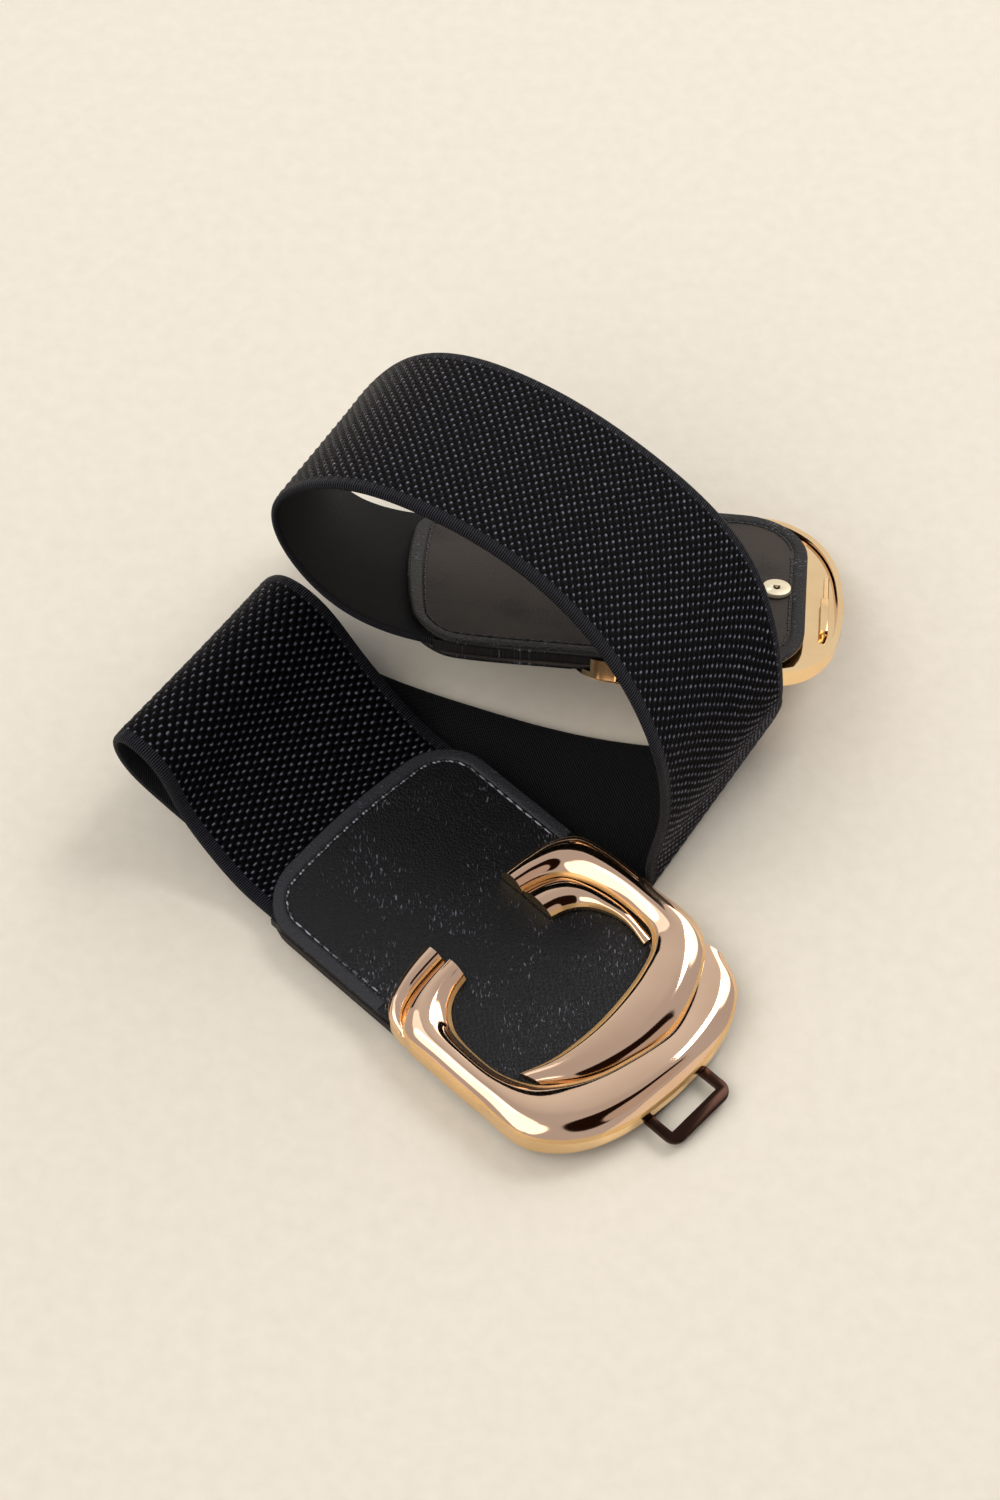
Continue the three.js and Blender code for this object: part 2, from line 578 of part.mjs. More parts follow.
// The origin goes to the middle of the underside
belt.updateMatrixWorld(true);
const box = new THREE.Box3().setFromObject(belt, true);
belt.position.set(-(box.min.x + box.max.x) / 2, -(box.min.y + box.max.y) / 2, -box.min.z);

export default belt;
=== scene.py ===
"""Elastic stretch belt with a two-part cast buckle, lying as a loose spiral on a pale floor.

Metres, +Z up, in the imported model's frame. Sections of the lie, the castings and the tabs are given
in millimetres and turned to metres where a mesh is made.
"""

import math
import random

import bmesh
import bpy
from mathutils import Matrix, Vector


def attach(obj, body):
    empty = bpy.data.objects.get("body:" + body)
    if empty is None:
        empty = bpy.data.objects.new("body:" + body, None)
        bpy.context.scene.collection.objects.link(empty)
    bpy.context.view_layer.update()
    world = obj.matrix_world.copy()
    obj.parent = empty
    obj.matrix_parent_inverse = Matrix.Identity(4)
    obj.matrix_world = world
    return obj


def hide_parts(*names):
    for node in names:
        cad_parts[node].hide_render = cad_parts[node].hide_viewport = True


MM = 0.001
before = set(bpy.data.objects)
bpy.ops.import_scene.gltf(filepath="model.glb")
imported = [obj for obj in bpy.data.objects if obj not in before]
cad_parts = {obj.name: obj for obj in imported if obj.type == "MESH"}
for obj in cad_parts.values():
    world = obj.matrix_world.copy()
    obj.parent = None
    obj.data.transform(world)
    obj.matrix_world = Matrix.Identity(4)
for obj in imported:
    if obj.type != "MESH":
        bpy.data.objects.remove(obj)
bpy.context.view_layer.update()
random.seed(41)

# Sizes, in millimetres
CLEARANCE = 0.3
ELASTIC_WIDTH = 57
ELASTIC_THICKNESS = 1.8
ELASTIC_TUCK = 74
TAB_WIDTH = 60
TAB_LENGTH = 87
LEATHER_THICKNESS = 0.9
ROOT_RADIUS = 11
END_RADIUS = 15
CASTING_START = 35
CASTING_LENGTH = 60.3
CASTING_WIDTH = 62
CASTING_HEIGHT = 7.4
WALL_THICKNESS = 1.2
SCREW_ALONG = TAB_LENGTH - 6.6
SCREW_HEAD_HEIGHT = 1
STAR_RADIUS = 1.15
STAR_WAIST = 0.42
STAR_DEPTH = 0.6

FRONT_LEVEL = ELASTIC_THICKNESS / 2 + CLEARANCE
POCKET_TOP = FRONT_LEVEL + LEATHER_THICKNESS + CLEARANCE
LINING_LEVEL = -ELASTIC_THICKNESS / 2 - CLEARANCE
LINING_BACK = LINING_LEVEL - LEATHER_THICKNESS
WALL_FOOT = LINING_LEVEL + CLEARANCE
END_HEIGHT = ELASTIC_THICKNESS + CLEARANCE - LINING_BACK

# The weave: picks along the band and across it, and how far they stand up
PICK = 2.0
COLUMN = 1.6
COLUMNS_A_SIDE = 16
PICK_STEPS = 4
PICK_RISE = 0.42

# Camera
SHIFT = Vector((3.381, 15.308, 0))
LOOK_AT = SHIFT * MM
ELEVATION = 57.5
DISTANCE = 0.72

camera_data = bpy.data.cameras.new("photo_camera")
camera_data.lens = 78.62
camera_data.sensor_width = 36
camera = bpy.data.objects.new("photo_camera", camera_data)
bpy.context.scene.collection.objects.link(camera)
reach = DISTANCE * math.cos(math.radians(ELEVATION))
camera.location = LOOK_AT + Vector((0, -reach, DISTANCE * math.sin(math.radians(ELEVATION))))
camera.rotation_euler = (LOOK_AT - camera.location).to_track_quat("-Z", "Y").to_euler()
bpy.context.scene.camera = camera
bpy.context.scene.view_settings.view_transform = "Standard"

# The lie
LIE_REACH = 100
LIE_RISE = 66
END_A = {"x": -0.327, "y": -0.203, "heading": -43.5}
END_B = {"x": 0.155, "y": 0.335, "rise": 0.25, "heading": -6, "lean": 20.5}

# x and y as shares of the reach, rise as a share of the rise, the near edge's compass direction and
# lift in degrees, and the share of the width left where the elastic is drawn in against end B
LIE = [
    (-0.425, -0.11, 0.13, -132, 0, 1),
    (-0.5, -0.03, 0.22, -130, 1, 1),
    (-0.565, 0.03, 0.345, -127, 4, 1),
    (-0.64, 0.09, 0.35, -126, 5, 1),
    (-0.662, 0.11, 0.22, -121, 4, 1),
    (-0.595, 0.07, 0.08, -117, 4, 1),
    (-0.44, -0.035, 0.01, -116, 1, 1),
    (-0.17, -0.155, 0, -114, 0, 1),
    (0.115, -0.24, 0, -115, 0, 1),
    (0.315, -0.242, 0, -122, 0, 1),
    (0.38, -0.212, 0.03, -125, -3, 0.97),
    (0.43, -0.181, 0.055, -126, -8, 0.94),
    (0.455, -0.166, 0.11, -126.5, -12, 0.9),
    (0.457, -0.174, 0.22, -128, -12, 0.85),
    (0.464, -0.179, 0.4, -127, -4, 0.78),
    (0.459, -0.14, 0.53, -123, 0, 0.82),
    (0.442, -0.082, 0.615, -117.5, 5, 0.93),
    (0.396, 0.017, 0.69, -115, 11, 1),
    (0.205, 0.2, 0.87, -113, 17, 1),
    (-0.04, 0.335, 0.99, -112, 18, 1),
    (-0.27, 0.42, 0.96, -111, 20, 1),
    (-0.383, 0.43, 0.77, -109, 24, 1),
    (-0.373, 0.37, 0.46, -90, 27, 1),
    (-0.165, 0.34, 0.275, -91, 26, 1),
]
LENGTH_SAMPLES = 900


def smooth_curve(knots, values, start_slope, end_slope):
    """A smooth curve through values at rising knots, with the given slope at each end."""
    last = len(knots) - 1
    span = [knots[k + 1] - knots[k] for k in range(last)]
    rise = [(values[k + 1] - values[k]) / span[k] for k in range(last)]
    slope = [start_slope]
    carry = [0]
    for k in range(1, last):
        diagonal = 2 / span[k - 1] + 2 / span[k] - carry[k - 1] / span[k - 1]
        right = 3 * (rise[k - 1] / span[k - 1] + rise[k] / span[k]) - slope[k - 1] / span[k - 1]
        carry.append(1 / span[k] / diagonal)
        slope.append(right / diagonal)
    slope.append(end_slope)
    for k in range(last - 1, 0, -1):
        slope[k] -= carry[k] * slope[k + 1]

    def read(at):
        k = 0
        while k < last - 1 and at > knots[k + 1]:
            k += 1
        u = (at - knots[k]) / span[k]
        lift = values[k] * (1 + 2 * u) * (1 - u) ** 2 + values[k + 1] * u * u * (3 - 2 * u)
        return lift + span[k] * u * (1 - u) * (slope[k] * (1 - u) - slope[k + 1] * u)

    return read


def compass(heading, lean=0):
    flat = math.cos(math.radians(lean))
    turn = math.radians(heading)
    return Vector((flat * math.cos(turn), flat * math.sin(turn), math.sin(math.radians(lean))))


class Lie:
    """The elastic's middle line and near-edge direction at every station, in millimetres."""

    def __init__(self):
        self.middles = [Vector((END_A["x"] * LIE_REACH, END_A["y"] * LIE_REACH, END_HEIGHT))]
        self.middles += [Vector((x * LIE_REACH, y * LIE_REACH, rise * LIE_RISE)) for x, y, rise, *_ in LIE]
        at_end = (END_B["x"] * LIE_REACH, END_B["y"] * LIE_REACH, END_B["rise"] * LIE_RISE)
        self.middles.append(Vector(at_end))
        sides = [compass(END_A["heading"] - 90)]
        sides += [compass(swing, lean) * drawn for *_, swing, lean, drawn in LIE]
        sides.append(compass(END_B["heading"] - 90, END_B["lean"]))
        self.leaving = -compass(END_A["heading"])
        self.arriving = compass(END_B["heading"])
        knots = [0]
        for k in range(1, len(self.middles)):
            knots.append(knots[-1] + (self.middles[k] - self.middles[k - 1]).length)
        self.last_knot = knots[-1]
        self.middle_curves = [
            smooth_curve(knots, [p[i] for p in self.middles], self.leaving[i], self.arriving[i])
            for i in range(3)
        ]
        self.side_curves = [smooth_curve(knots, [s[i] for s in sides], 0, 0) for i in range(3)]
        self.samples = [self.last_knot * k / LENGTH_SAMPLES for k in range(LENGTH_SAMPLES + 1)]
        self.lengths = [0]
        points = [self.read(self.middle_curves, at) for at in self.samples]
        for k in range(1, len(points)):
            self.lengths.append(self.lengths[-1] + (points[k] - points[k - 1]).length)
        self.length = self.lengths[-1]
        self.root_b = self.length - CASTING_START

    @staticmethod
    def read(curves, knot):
        return Vector([curve(knot) for curve in curves])

    def knot_at(self, station):
        low, high = 0, LENGTH_SAMPLES - 1
        while low < high:
            half = (low + high) // 2
            if self.lengths[half + 1] < station:
                low = half + 1
            else:
                high = half
        share = (station - self.lengths[low]) / (self.lengths[low + 1] - self.lengths[low])
        return self.samples[low] + (self.samples[low + 1] - self.samples[low]) * share

    def place(self, station):
        inside = min(max(station, 0), self.length)
        knot = self.knot_at(inside)
        middle = self.read(self.middle_curves, knot)
        before = self.read(self.middle_curves, max(knot - 0.05, 0))
        after = self.read(self.middle_curves, min(knot + 0.05, self.last_knot))
        along = (after - before).normalized()
        if station <= 0:
            along = self.leaving.copy()
        if station >= self.length:
            along = self.arriving.copy()
        middle += along * (station - inside)
        side = self.read(self.side_curves, knot)
        return middle, along, side, along.cross(side).normalized()

    def end_matrix(self, end):
        """The frame of a stiff end in millimetres: X out along the belt, Z the outer face."""
        middle, along, _, outer = self.place(0 if end == "a" else self.length)
        out = -along if end == "a" else along
        origin = middle if end == "a" else middle - out * CASTING_START
        matrix = Matrix((out, outer.cross(out), outer)).transposed().to_4x4()
        matrix.translation = origin + SHIFT
        return matrix


lie = Lie()

# Materials

NOISE = "ShaderNodeTexNoise"
MATH = "ShaderNodeMath"
VECTOR = "ShaderNodeVectorMath"
MAP = "ShaderNodeMapRange"
RAMP = "ShaderNodeValToRGB"
BUMP = "ShaderNodeBump"
MAPPING = "ShaderNodeMapping"
CLOTH_MAP = "cloth"


def linear(code):
    """A six-digit sRGB hex colour as linear RGBA."""
    parts = [int(code[i : i + 2], 16) / 255 for i in (1, 3, 5)]
    return [p / 12.92 if p <= 0.04045 else ((p + 0.055) / 1.055) ** 2.4 for p in parts] + [1]


def feed(tree, node, inputs):
    """Gives a node's sockets what they take: another node's output, or a plain value."""
    for socket, value in inputs.items():
        if isinstance(value, bpy.types.NodeSocket):
            tree.links.new(value, node.inputs[socket])
        else:
            node.inputs[socket].default_value = value


def add(tree, kind, inputs=None, stops=(), **settings):
    """Adds a node with its settings, its inputs and, for a colour ramp, its stops. Returns its outputs."""
    node = tree.nodes.new(kind)
    for name, value in settings.items():
        setattr(node, name, value)
    feed(tree, node, inputs or {})
    for k, (position, code) in enumerate(stops):
        elements = node.color_ramp.elements
        element = elements[k] if k < len(elements) else elements.new(position)
        element.position = position
        element.color = linear(code)
    return node.outputs


def new_material(name):
    material = bpy.data.materials.new(name)
    material.use_nodes = True
    tree = material.node_tree
    tree.nodes.clear()
    shader = tree.nodes.new("ShaderNodeBsdfPrincipled")
    add(tree, "ShaderNodeOutputMaterial", {0: shader.outputs[0]})
    return material, tree, shader


def woven_elastic():
    """Nylon-covered rubber elastic, plain woven: near-black rounded picks that stand up as short dashes
    across the band, staggered from column to column, softly shiny, with painted shade between them and a
    painted highlight crescent on one side of each."""
    material, tree, shader = new_material("woven_nylon_elastic")
    cloth = add(tree, "ShaderNodeUVMap", uv_map=CLOTH_MAP)[0]
    sway = add(tree, NOISE, {"Vector": cloth, "Scale": 0.5, "Detail": 2.0})[1]
    centred = add(tree, VECTOR, {0: sway, 1: (0.5, 0.5, 0.5)}, operation="SUBTRACT")[0]
    shift = add(tree, VECTOR, {0: centred, "Scale": 0.8}, operation="SCALE")[0]
    bent = add(tree, VECTOR, {0: cloth, 1: shift}, operation="ADD")[0]
    turns = (2 * math.pi / PICK, math.pi / COLUMN, 1)
    peaks = []
    # The second copy of the hills is shifted to one side; where both overlap, a crescent is coloured in as
    # a painted highlight.
    for offset, start, full in [((0, 0, 0), -0.5, 0.7), ((-0.7, 0.4, 0), -0.3, 0.9)]:
        moved = add(tree, MAPPING, {"Vector": bent, "Location": offset, "Scale": turns})[0]
        waves = add(tree, VECTOR, {0: moved}, operation="COSINE")[0]
        parts = add(tree, "ShaderNodeSeparateXYZ", {0: waves})
        crate = add(tree, MATH, {0: parts[0], 1: parts[1]}, operation="MULTIPLY")[0]
        peaks.append(add(tree, MAP, {0: crate, "From Min": start, "From Max": full})[0])
    stretch = add(tree, MAPPING, {"Vector": bent, "Scale": (6.0, 1.2, 1.0)})[0]
    yarn = add(tree, NOISE, {"Vector": stretch, "Scale": 1.6, "Detail": 3.0})[0]
    fibres = add(tree, MATH, {0: yarn, 1: 0.45}, operation="MULTIPLY")[0]
    height = add(tree, MATH, {0: peaks[0], 1: fibres}, operation="ADD")[0]
    lit = add(tree, MATH, {0: peaks[0], 1: peaks[1]}, operation="MULTIPLY")[0]
    patchy = add(tree, NOISE, {"Vector": cloth, "Scale": 0.7, "Detail": 3.0})[0]
    uneven = add(tree, MATH, {0: patchy, 1: yarn}, operation="ADD")[0]
    painted_crescents = add(tree, MATH, {0: lit, 1: uneven}, operation="MULTIPLY")[0]
    # Painted light: the colour is near black as painted shade between the picks and pale where the painted
    # highlight crescents lie.
    painted_light_tones = [(0.08, "#010102"), (0.4, "#15151a"), (0.7, "#34343e"), (1.0, "#7a7a88")]
    colour = add(tree, RAMP, {0: painted_crescents}, painted_light_tones)[0]
    bump = add(tree, BUMP, {"Height": height, "Strength": 1.0, "Distance": 0.0007})[0]
    feed(tree, shader, {"Base Color": colour, "Normal": bump, "Roughness": 0.4, "Specular IOR Level": 0.06})
    return material


def twill_back():
    """The elastic's inner face: a fine diagonal twill of charcoal polyester, flat and matte."""
    material, tree, shader = new_material("polyester_twill_back")
    cloth = add(tree, "ShaderNodeUVMap", uv_map=CLOTH_MAP)[0]
    turned = add(tree, MAPPING, {"Vector": cloth, "Rotation": (0, 0, math.radians(38))})[0]
    spacing = {"Vector": turned, "Scale": 0.7, "Distortion": 1.2, "Detail": 2.0}
    lines = add(tree, "ShaderNodeTexWave", spacing)[1]
    fluff = add(tree, NOISE, {"Vector": cloth, "Scale": 1.3, "Detail": 4.0})[0]
    height = add(tree, MATH, {0: fluff, 1: 0.8, 2: lines}, operation="MULTIPLY_ADD")[0]
    colour = add(tree, RAMP, {0: height}, [(0.2, "#060607"), (1.0, "#18181b")])[0]
    bump = add(tree, BUMP, {"Height": height, "Strength": 0.7, "Distance": 0.0004})[0]
    feed(tree, shader, {"Base Color": colour, "Normal": bump})
    feed(tree, shader, {"Roughness": 0.75, "Specular IOR Level": 0.15})
    return material


def ribbed_selvedge():
    """The elastic's woven edge: tight black ribs 0.5 mm apart across the edge, the top of each painted
    paler as a highlight and the grooves between them painted darker as shade."""
    material, tree, shader = new_material("nylon_selvedge")
    cloth = add(tree, "ShaderNodeUVMap", uv_map=CLOTH_MAP)[0]
    spacing = {"Vector": cloth, "Scale": 0.62, "Distortion": 0.6, "Detail": 1.0}
    ribs = add(tree, "ShaderNodeTexWave", spacing)[1]
    # Painted light: paler on the ribs' crests as a painted highlight, darker in the grooves as painted
    # shade.
    colour = add(tree, RAMP, {0: ribs}, [(0.1, "#020202"), (0.7, "#0c0c10"), (0.98, "#3c3c46")])[0]
    bump = add(tree, BUMP, {"Height": ribs, "Strength": 0.9, "Distance": 0.0005})[0]
    feed(tree, shader, {"Base Color": colour, "Normal": bump, "Roughness": 0.5, "Specular IOR Level": 0.15})
    return material


def grain_leather(name, deep, pale, crease_glint_colour, roughness):
    """Black full-grain leather, dyed and waxed: pores about 1 mm apart and, where it has been bent,
    patches of fine short creases, raised in the bump and painted bright in the colour as highlights."""
    material, tree, shader = new_material(name)
    cloth = add(tree, "ShaderNodeUVMap", uv_map=CLOTH_MAP)[0]
    pores = add(tree, "ShaderNodeTexVoronoi", {"Vector": cloth, "Scale": 1.1}, feature="DISTANCE_TO_EDGE")
    grain = add(tree, MATH, {0: pores["Distance"], 1: 0.2}, operation="MINIMUM")[0]
    noise = add(tree, NOISE, {"Vector": cloth, "Scale": 2.6, "Detail": 5.0, "Roughness": 0.6})[0]
    turned = add(tree, MAPPING, {"Vector": cloth, "Rotation": (0, 0, math.radians(-43))})[0]
    pulled = add(tree, MAPPING, {"Vector": turned, "Scale": (2.8, 0.75, 1.0)})[0]
    strokes = add(tree, NOISE, {"Vector": pulled, "Scale": 0.9, "Detail": 1.5, "Distortion": 0.5})[0]
    line = add(tree, MAP, {0: strokes, "From Min": 0.58, "From Max": 0.7})[0]
    clouds = add(tree, NOISE, {"Vector": cloth, "Scale": 0.07, "Detail": 4.0})[0]
    where = add(tree, MAP, {0: clouds, "From Min": 0.45, "From Max": 0.62})[0]
    creases_and_glints = add(tree, MATH, {0: line, 1: where}, operation="MULTIPLY")[0]
    fine = add(tree, MATH, {0: noise, 1: 0.4, 2: grain}, operation="MULTIPLY_ADD")[0]
    height = add(tree, MATH, {0: creases_and_glints, 1: 1.6, 2: fine}, operation="MULTIPLY_ADD")[0]
    # The creases also lighten the colour, as a painted highlight for the light they catch.
    tone = add(tree, MATH, {0: noise, 1: 0.3, 2: creases_and_glints}, operation="MULTIPLY_ADD")[0]
    colour = add(tree, RAMP, {0: tone}, [(0.1, deep), (0.3, pale), (0.95, crease_glint_colour)])[0]
    bump = add(tree, BUMP, {"Height": height, "Strength": 0.8, "Distance": 0.0003})[0]
    rough = add(tree, MAP, {0: noise, "To Min": roughness * 0.8, "To Max": roughness * 1.25})[0]
    feed(tree, shader, {"Base Color": colour, "Normal": bump})
    feed(tree, shader, {"Roughness": rough, "Specular IOR Level": 0.26})
    return material


def lining_leather():
    """Split-leather lining in dark taupe: brushed, matte, with a short soft nap."""
    material, tree, shader = new_material("taupe_split_leather_lining")
    cloth = add(tree, "ShaderNodeUVMap", uv_map=CLOTH_MAP)[0]
    nap = add(tree, NOISE, {"Vector": cloth, "Scale": 1.8, "Detail": 6.0, "Roughness": 0.7})[0]
    cloud = add(tree, NOISE, {"Vector": cloth, "Scale": 0.08, "Detail": 3.0})[0]
    both = add(tree, MATH, {0: nap, 1: cloud}, operation="ADD")[0]
    colour = add(tree, RAMP, {0: both}, [(0.7, "#282320"), (1.0, "#3d3631")])[0]
    bump = add(tree, BUMP, {"Height": nap, "Strength": 0.6, "Distance": 0.0003})[0]
    feed(tree, shader, {"Base Color": colour, "Normal": bump})
    feed(tree, shader, {"Roughness": 0.72, "Specular IOR Level": 0.25})
    return material


def polished_metal(name, code, roughness, wear, metallic=1.0):
    """Polished plated zinc: a mirror with the finest polishing haze, worn a touch duller in clouds."""
    material, tree, shader = new_material(name)
    place = add(tree, "ShaderNodeTexCoord")["Object"]
    haze = add(tree, NOISE, {"Vector": place, "Scale": 90.0, "Detail": 4.0})[0]
    stretch = add(tree, MAPPING, {"Vector": place, "Scale": (1.0, 6.0, 6.0)})[0]
    polish = add(tree, NOISE, {"Vector": stretch, "Scale": 900.0, "Detail": 2.0})[0]
    rough = add(tree, MAP, {0: haze, "To Min": roughness * 0.7, "To Max": roughness * 1.5})[0]
    tone = add(tree, RAMP, {0: haze}, [(0.3, code), (0.8, wear)])[0]
    bump = add(tree, BUMP, {"Height": polish, "Strength": 0.02, "Distance": 0.0001})[0]
    feed(tree, shader, {"Base Color": tone, "Normal": bump, "Roughness": rough, "Metallic": metallic})
    return material


def waxed_thread(name, deep, pale):
    """Bonded polyester sewing thread, twisted about 0.7 mm a turn."""
    material, tree, shader = new_material(name)
    place = add(tree, "ShaderNodeTexCoord")["Object"]
    twist = add(
        tree, "ShaderNodeTexWave", {"Vector": place, "Scale": 450.0, "Distortion": 0.5},
        bands_direction="DIAGONAL")[1]
    colour = add(tree, RAMP, {0: twist}, [(0.2, deep), (0.9, pale)])[0]
    bump = add(tree, BUMP, {"Height": twist, "Strength": 0.5, "Distance": 0.0001})[0]
    feed(tree, shader, {"Base Color": colour, "Normal": bump, "Roughness": 0.45})
    return material


def plain_plaster():
    """The floor: pale cream board with a barely felt plaster tooth."""
    material, tree, shader = new_material("pale_plaster_floor")
    place = add(tree, "ShaderNodeTexCoord")["Object"]
    grain = add(tree, NOISE, {"Vector": place, "Scale": 260.0, "Detail": 4.0})[0]
    colour = add(tree, RAMP, {0: grain}, [(0.3, "#d9d2c3"), (0.7, "#ded7c9")])[0]
    bump = add(tree, BUMP, {"Height": grain, "Strength": 0.25, "Distance": 0.0004})[0]
    feed(tree, shader, {"Base Color": colour, "Normal": bump, "Roughness": 0.8})
    return material


WEAVE = woven_elastic()
TWILL = twill_back()
SELVEDGE = ribbed_selvedge()
# The last colour given to each leather is the painted highlight on its creases.
LEATHER = grain_leather("black_full_grain_leather", "#050506", "#0c0c0e", "#6e6e7a", 0.42)
TURNED_LEATHER = grain_leather("turned_leather_edge", "#242428", "#34353a", "#4c4d55", 0.5)
LINING = lining_leather()
# One plating covers the casting: the yellow gold on the strands' side walls and the yellow edge gold on the
# bands by their edges are painted reflection tints beside the rose gold. The yellow gold also serves the
# hook and the inner plate.
ROSE_GOLD = polished_metal("polished_rose_gold_plate", "#f0cdb0", 0.06, "#e8c2a2")
YELLOW_GOLD = polished_metal("polished_champagne_gold_plate", "#ffdcaa", 0.09, "#f6cf98")
EDGE_REFLECTION_GOLD = polished_metal("yellow_gold_edge_painted_reflection", "#f0c486", 0.2, "#e2b070", 0.55)
BRONZE_AND_RECESS_SHADE = polished_metal("dark_bronze_plate_and_recess_shade", "#2c1d18", 0.24, "#3a271f")
NICKEL = polished_metal("satin_pale_brass_plate", "#f4e8cc", 0.38, "#e6d8b4", 0.7)
# The front seam's thread is coloured grey as a painted highlight; the back's thread is black.
PAINTED_HIGHLIGHT_THREAD = waxed_thread("grey_painted_highlight_thread", "#2c2c31", "#a2a2ae")
BLACK_THREAD_AND_HOLE_SHADE = waxed_thread("waxed_black_thread_and_hole_shade", "#030303", "#1c1c20")
PLASTER = plain_plaster()

# Mesh helpers


def finished(name, bm, materials, replaces=(), sharp=40):
    """Makes a smooth-shaded piece of a bmesh whose places are already in metres."""
    mesh = bpy.data.meshes.new(name)
    bm.to_mesh(mesh)
    bm.free()
    for material in materials:
        mesh.materials.append(material)
    for polygon in mesh.polygons:
        polygon.use_smooth = True
    mesh.set_sharp_from_angle(angle=math.radians(sharp))
    piece = bpy.data.objects.new(name, mesh)
    bpy.context.scene.collection.objects.link(piece)
    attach(piece, "root")
    if replaces:
        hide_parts(*replaces)
    return piece


def sleeve(rows, columns, joined=False):
    """A tube of quads: rows sections of columns points each, its ends capped, or joined to each other.
    Returns the bmesh and its vertices as a list of rings."""
    bm = bmesh.new()
    bm.verts.layers.float_vector.new("flat")
    bm.verts.layers.int.new("face_side")
    bmesh.ops.create_grid(bm, x_segments=rows - 1, y_segments=columns, size=0.5)
    order = sorted(bm.verts, key=lambda v: (round((v.co.x + 0.5) * (rows - 1)), v.co.y))
    rings = [order[r * (columns + 1) : (r + 1) * (columns + 1)] for r in range(rows)]
    pairs = {ring[columns]: ring[0] for ring in rings}
    bmesh.ops.weld_verts(bm, targetmap=pairs)
    rings = [ring[:columns] for ring in rings]
    if joined:
        bmesh.ops.weld_verts(bm, targetmap=dict(zip(rings[-1], rings[0])))
        return bm, rings[:-1]
    for ring in (rings[0], rings[-1]):
        bmesh.ops.contextual_create(bm, geom=ring)
    return bm, rings


def outward(bm):
    bmesh.ops.recalc_face_normals(bm, faces=bm.faces)


# How many points round off each edge of a strip
EDGE_STEPS = 3


def strip_section(half, bottom, top, across, picks=0):
    """A flat section with rounded edges: (aside, level, side of the section) for each point. With
    picks, the outer face has a point at every column of the weave, that many to a side."""
    radius = (top - bottom) / 2
    middle = (top + bottom) / 2
    points = []
    for k in range(across + 1):
        points.append(((half - radius) * (2 * k / across - 1), bottom, -1))
    for k in range(1, EDGE_STEPS + 1):
        turn = math.pi * k / (EDGE_STEPS + 1)
        points.append((half - radius + radius * math.sin(turn), middle - radius * math.cos(turn), 0))
    if picks:
        face = [half - radius] + [COLUMN * k for k in range(picks, -picks - 1, -1)] + [radius - half]
    else:
        face = [(half - radius) * (1 - 2 * k / across) for k in range(across + 1)]
    for aside in face:
        points.append((aside, top, 1))
    for k in range(1, EDGE_STEPS + 1):
        turn = math.pi * k / (EDGE_STEPS + 1)
        points.append((-(half - radius) - radius * math.sin(turn), middle + radius * math.cos(turn), 0))
    return points


ROOT_BOW = 3.2
BOW_REACH = 24


def bowed(along, aside):
    """A tab's root edge is cut to a shallow bow, so what lies near the root moves with it."""
    fade = max(1 - max(along, 0) / BOW_REACH, 0)
    return along + ROOT_BOW * ((2 * aside / TAB_WIDTH) ** 2 - 0.45) * fade**1.5


def laid(place, aside, level):
    """The point of the strip at an aside and a level from the band's middle line, in metres. Where it
    would dip under the floor it lies flat on it."""
    middle, _, side, outer = place
    point = middle + side * aside
    normal = outer
    if point.z < ELASTIC_THICKNESS / 2:
        point.z = ELASTIC_THICKNESS / 2
        normal = Vector((0, 0, math.copysign(1, outer.z)))
    return (point + normal * level + SHIFT) * MM


def laid_strip(stations, half_at, bottom, top, across, relief=None, picks=0):
    """A strip of cloth or leather laid along the band, with a UV map in millimetres."""
    columns = len(strip_section(half_at(stations[0]), bottom, top, across, picks))
    bm, rings = sleeve(len(stations), columns)
    flat = bm.verts.layers.float_vector["flat"]
    sides = bm.verts.layers.int["face_side"]
    for station, ring in zip(stations, rings):
        place = lie.place(station)
        half = half_at(station)
        for vertex, (aside, level, face) in zip(ring, strip_section(half, bottom, top, across, picks)):
            if relief:
                level += relief(station, aside, face)
            vertex.co = laid(place, aside, level)
            vertex[flat] = (station, aside, level)
            vertex[sides] = face
    uv = bm.loops.layers.uv.new(CLOTH_MAP)
    for polygon in bm.faces:
        total = sum(v[sides] for v in polygon.verts)
        polygon.material_index = 0 if total >= 2 else (1 if total <= -2 else 2)
        for loop in polygon.loops:
            loop[uv].uv = loop.vert[flat][:2]
    outward(bm)
    return bm


def steps(start, stop, count):
    return [start + (stop - start) * k / count for k in range(count + 1)]


def rounded_half(along, half, length):
    from_root = max(ROOT_RADIUS - along, 0)
    from_end = max(END_RADIUS - (length - along), 0)
    root_loss = ROOT_RADIUS - math.sqrt(max(ROOT_RADIUS**2 - from_root**2, 0))
    end_loss = END_RADIUS - math.sqrt(max(END_RADIUS**2 - from_end**2, 0))
    return half - root_loss - end_loss


# Elastic, with how many steps there are across its smooth back
BACK_COLUMNS = 12

def pick_relief(station, aside, face):
    """The outer face's picks: each stands up as a rounded hill, staggered from column to column."""
    column = round(aside / COLUMN)
    if face < 1 or abs(aside - column * COLUMN) > 0.01 or abs(column) > COLUMNS_A_SIDE:
        return 0
    place = (round(station / PICK * PICK_STEPS) + PICK_STEPS // 2 * (column % 2)) % PICK_STEPS
    return PICK_RISE / 2 * math.cos(2 * math.pi * place / PICK_STEPS)


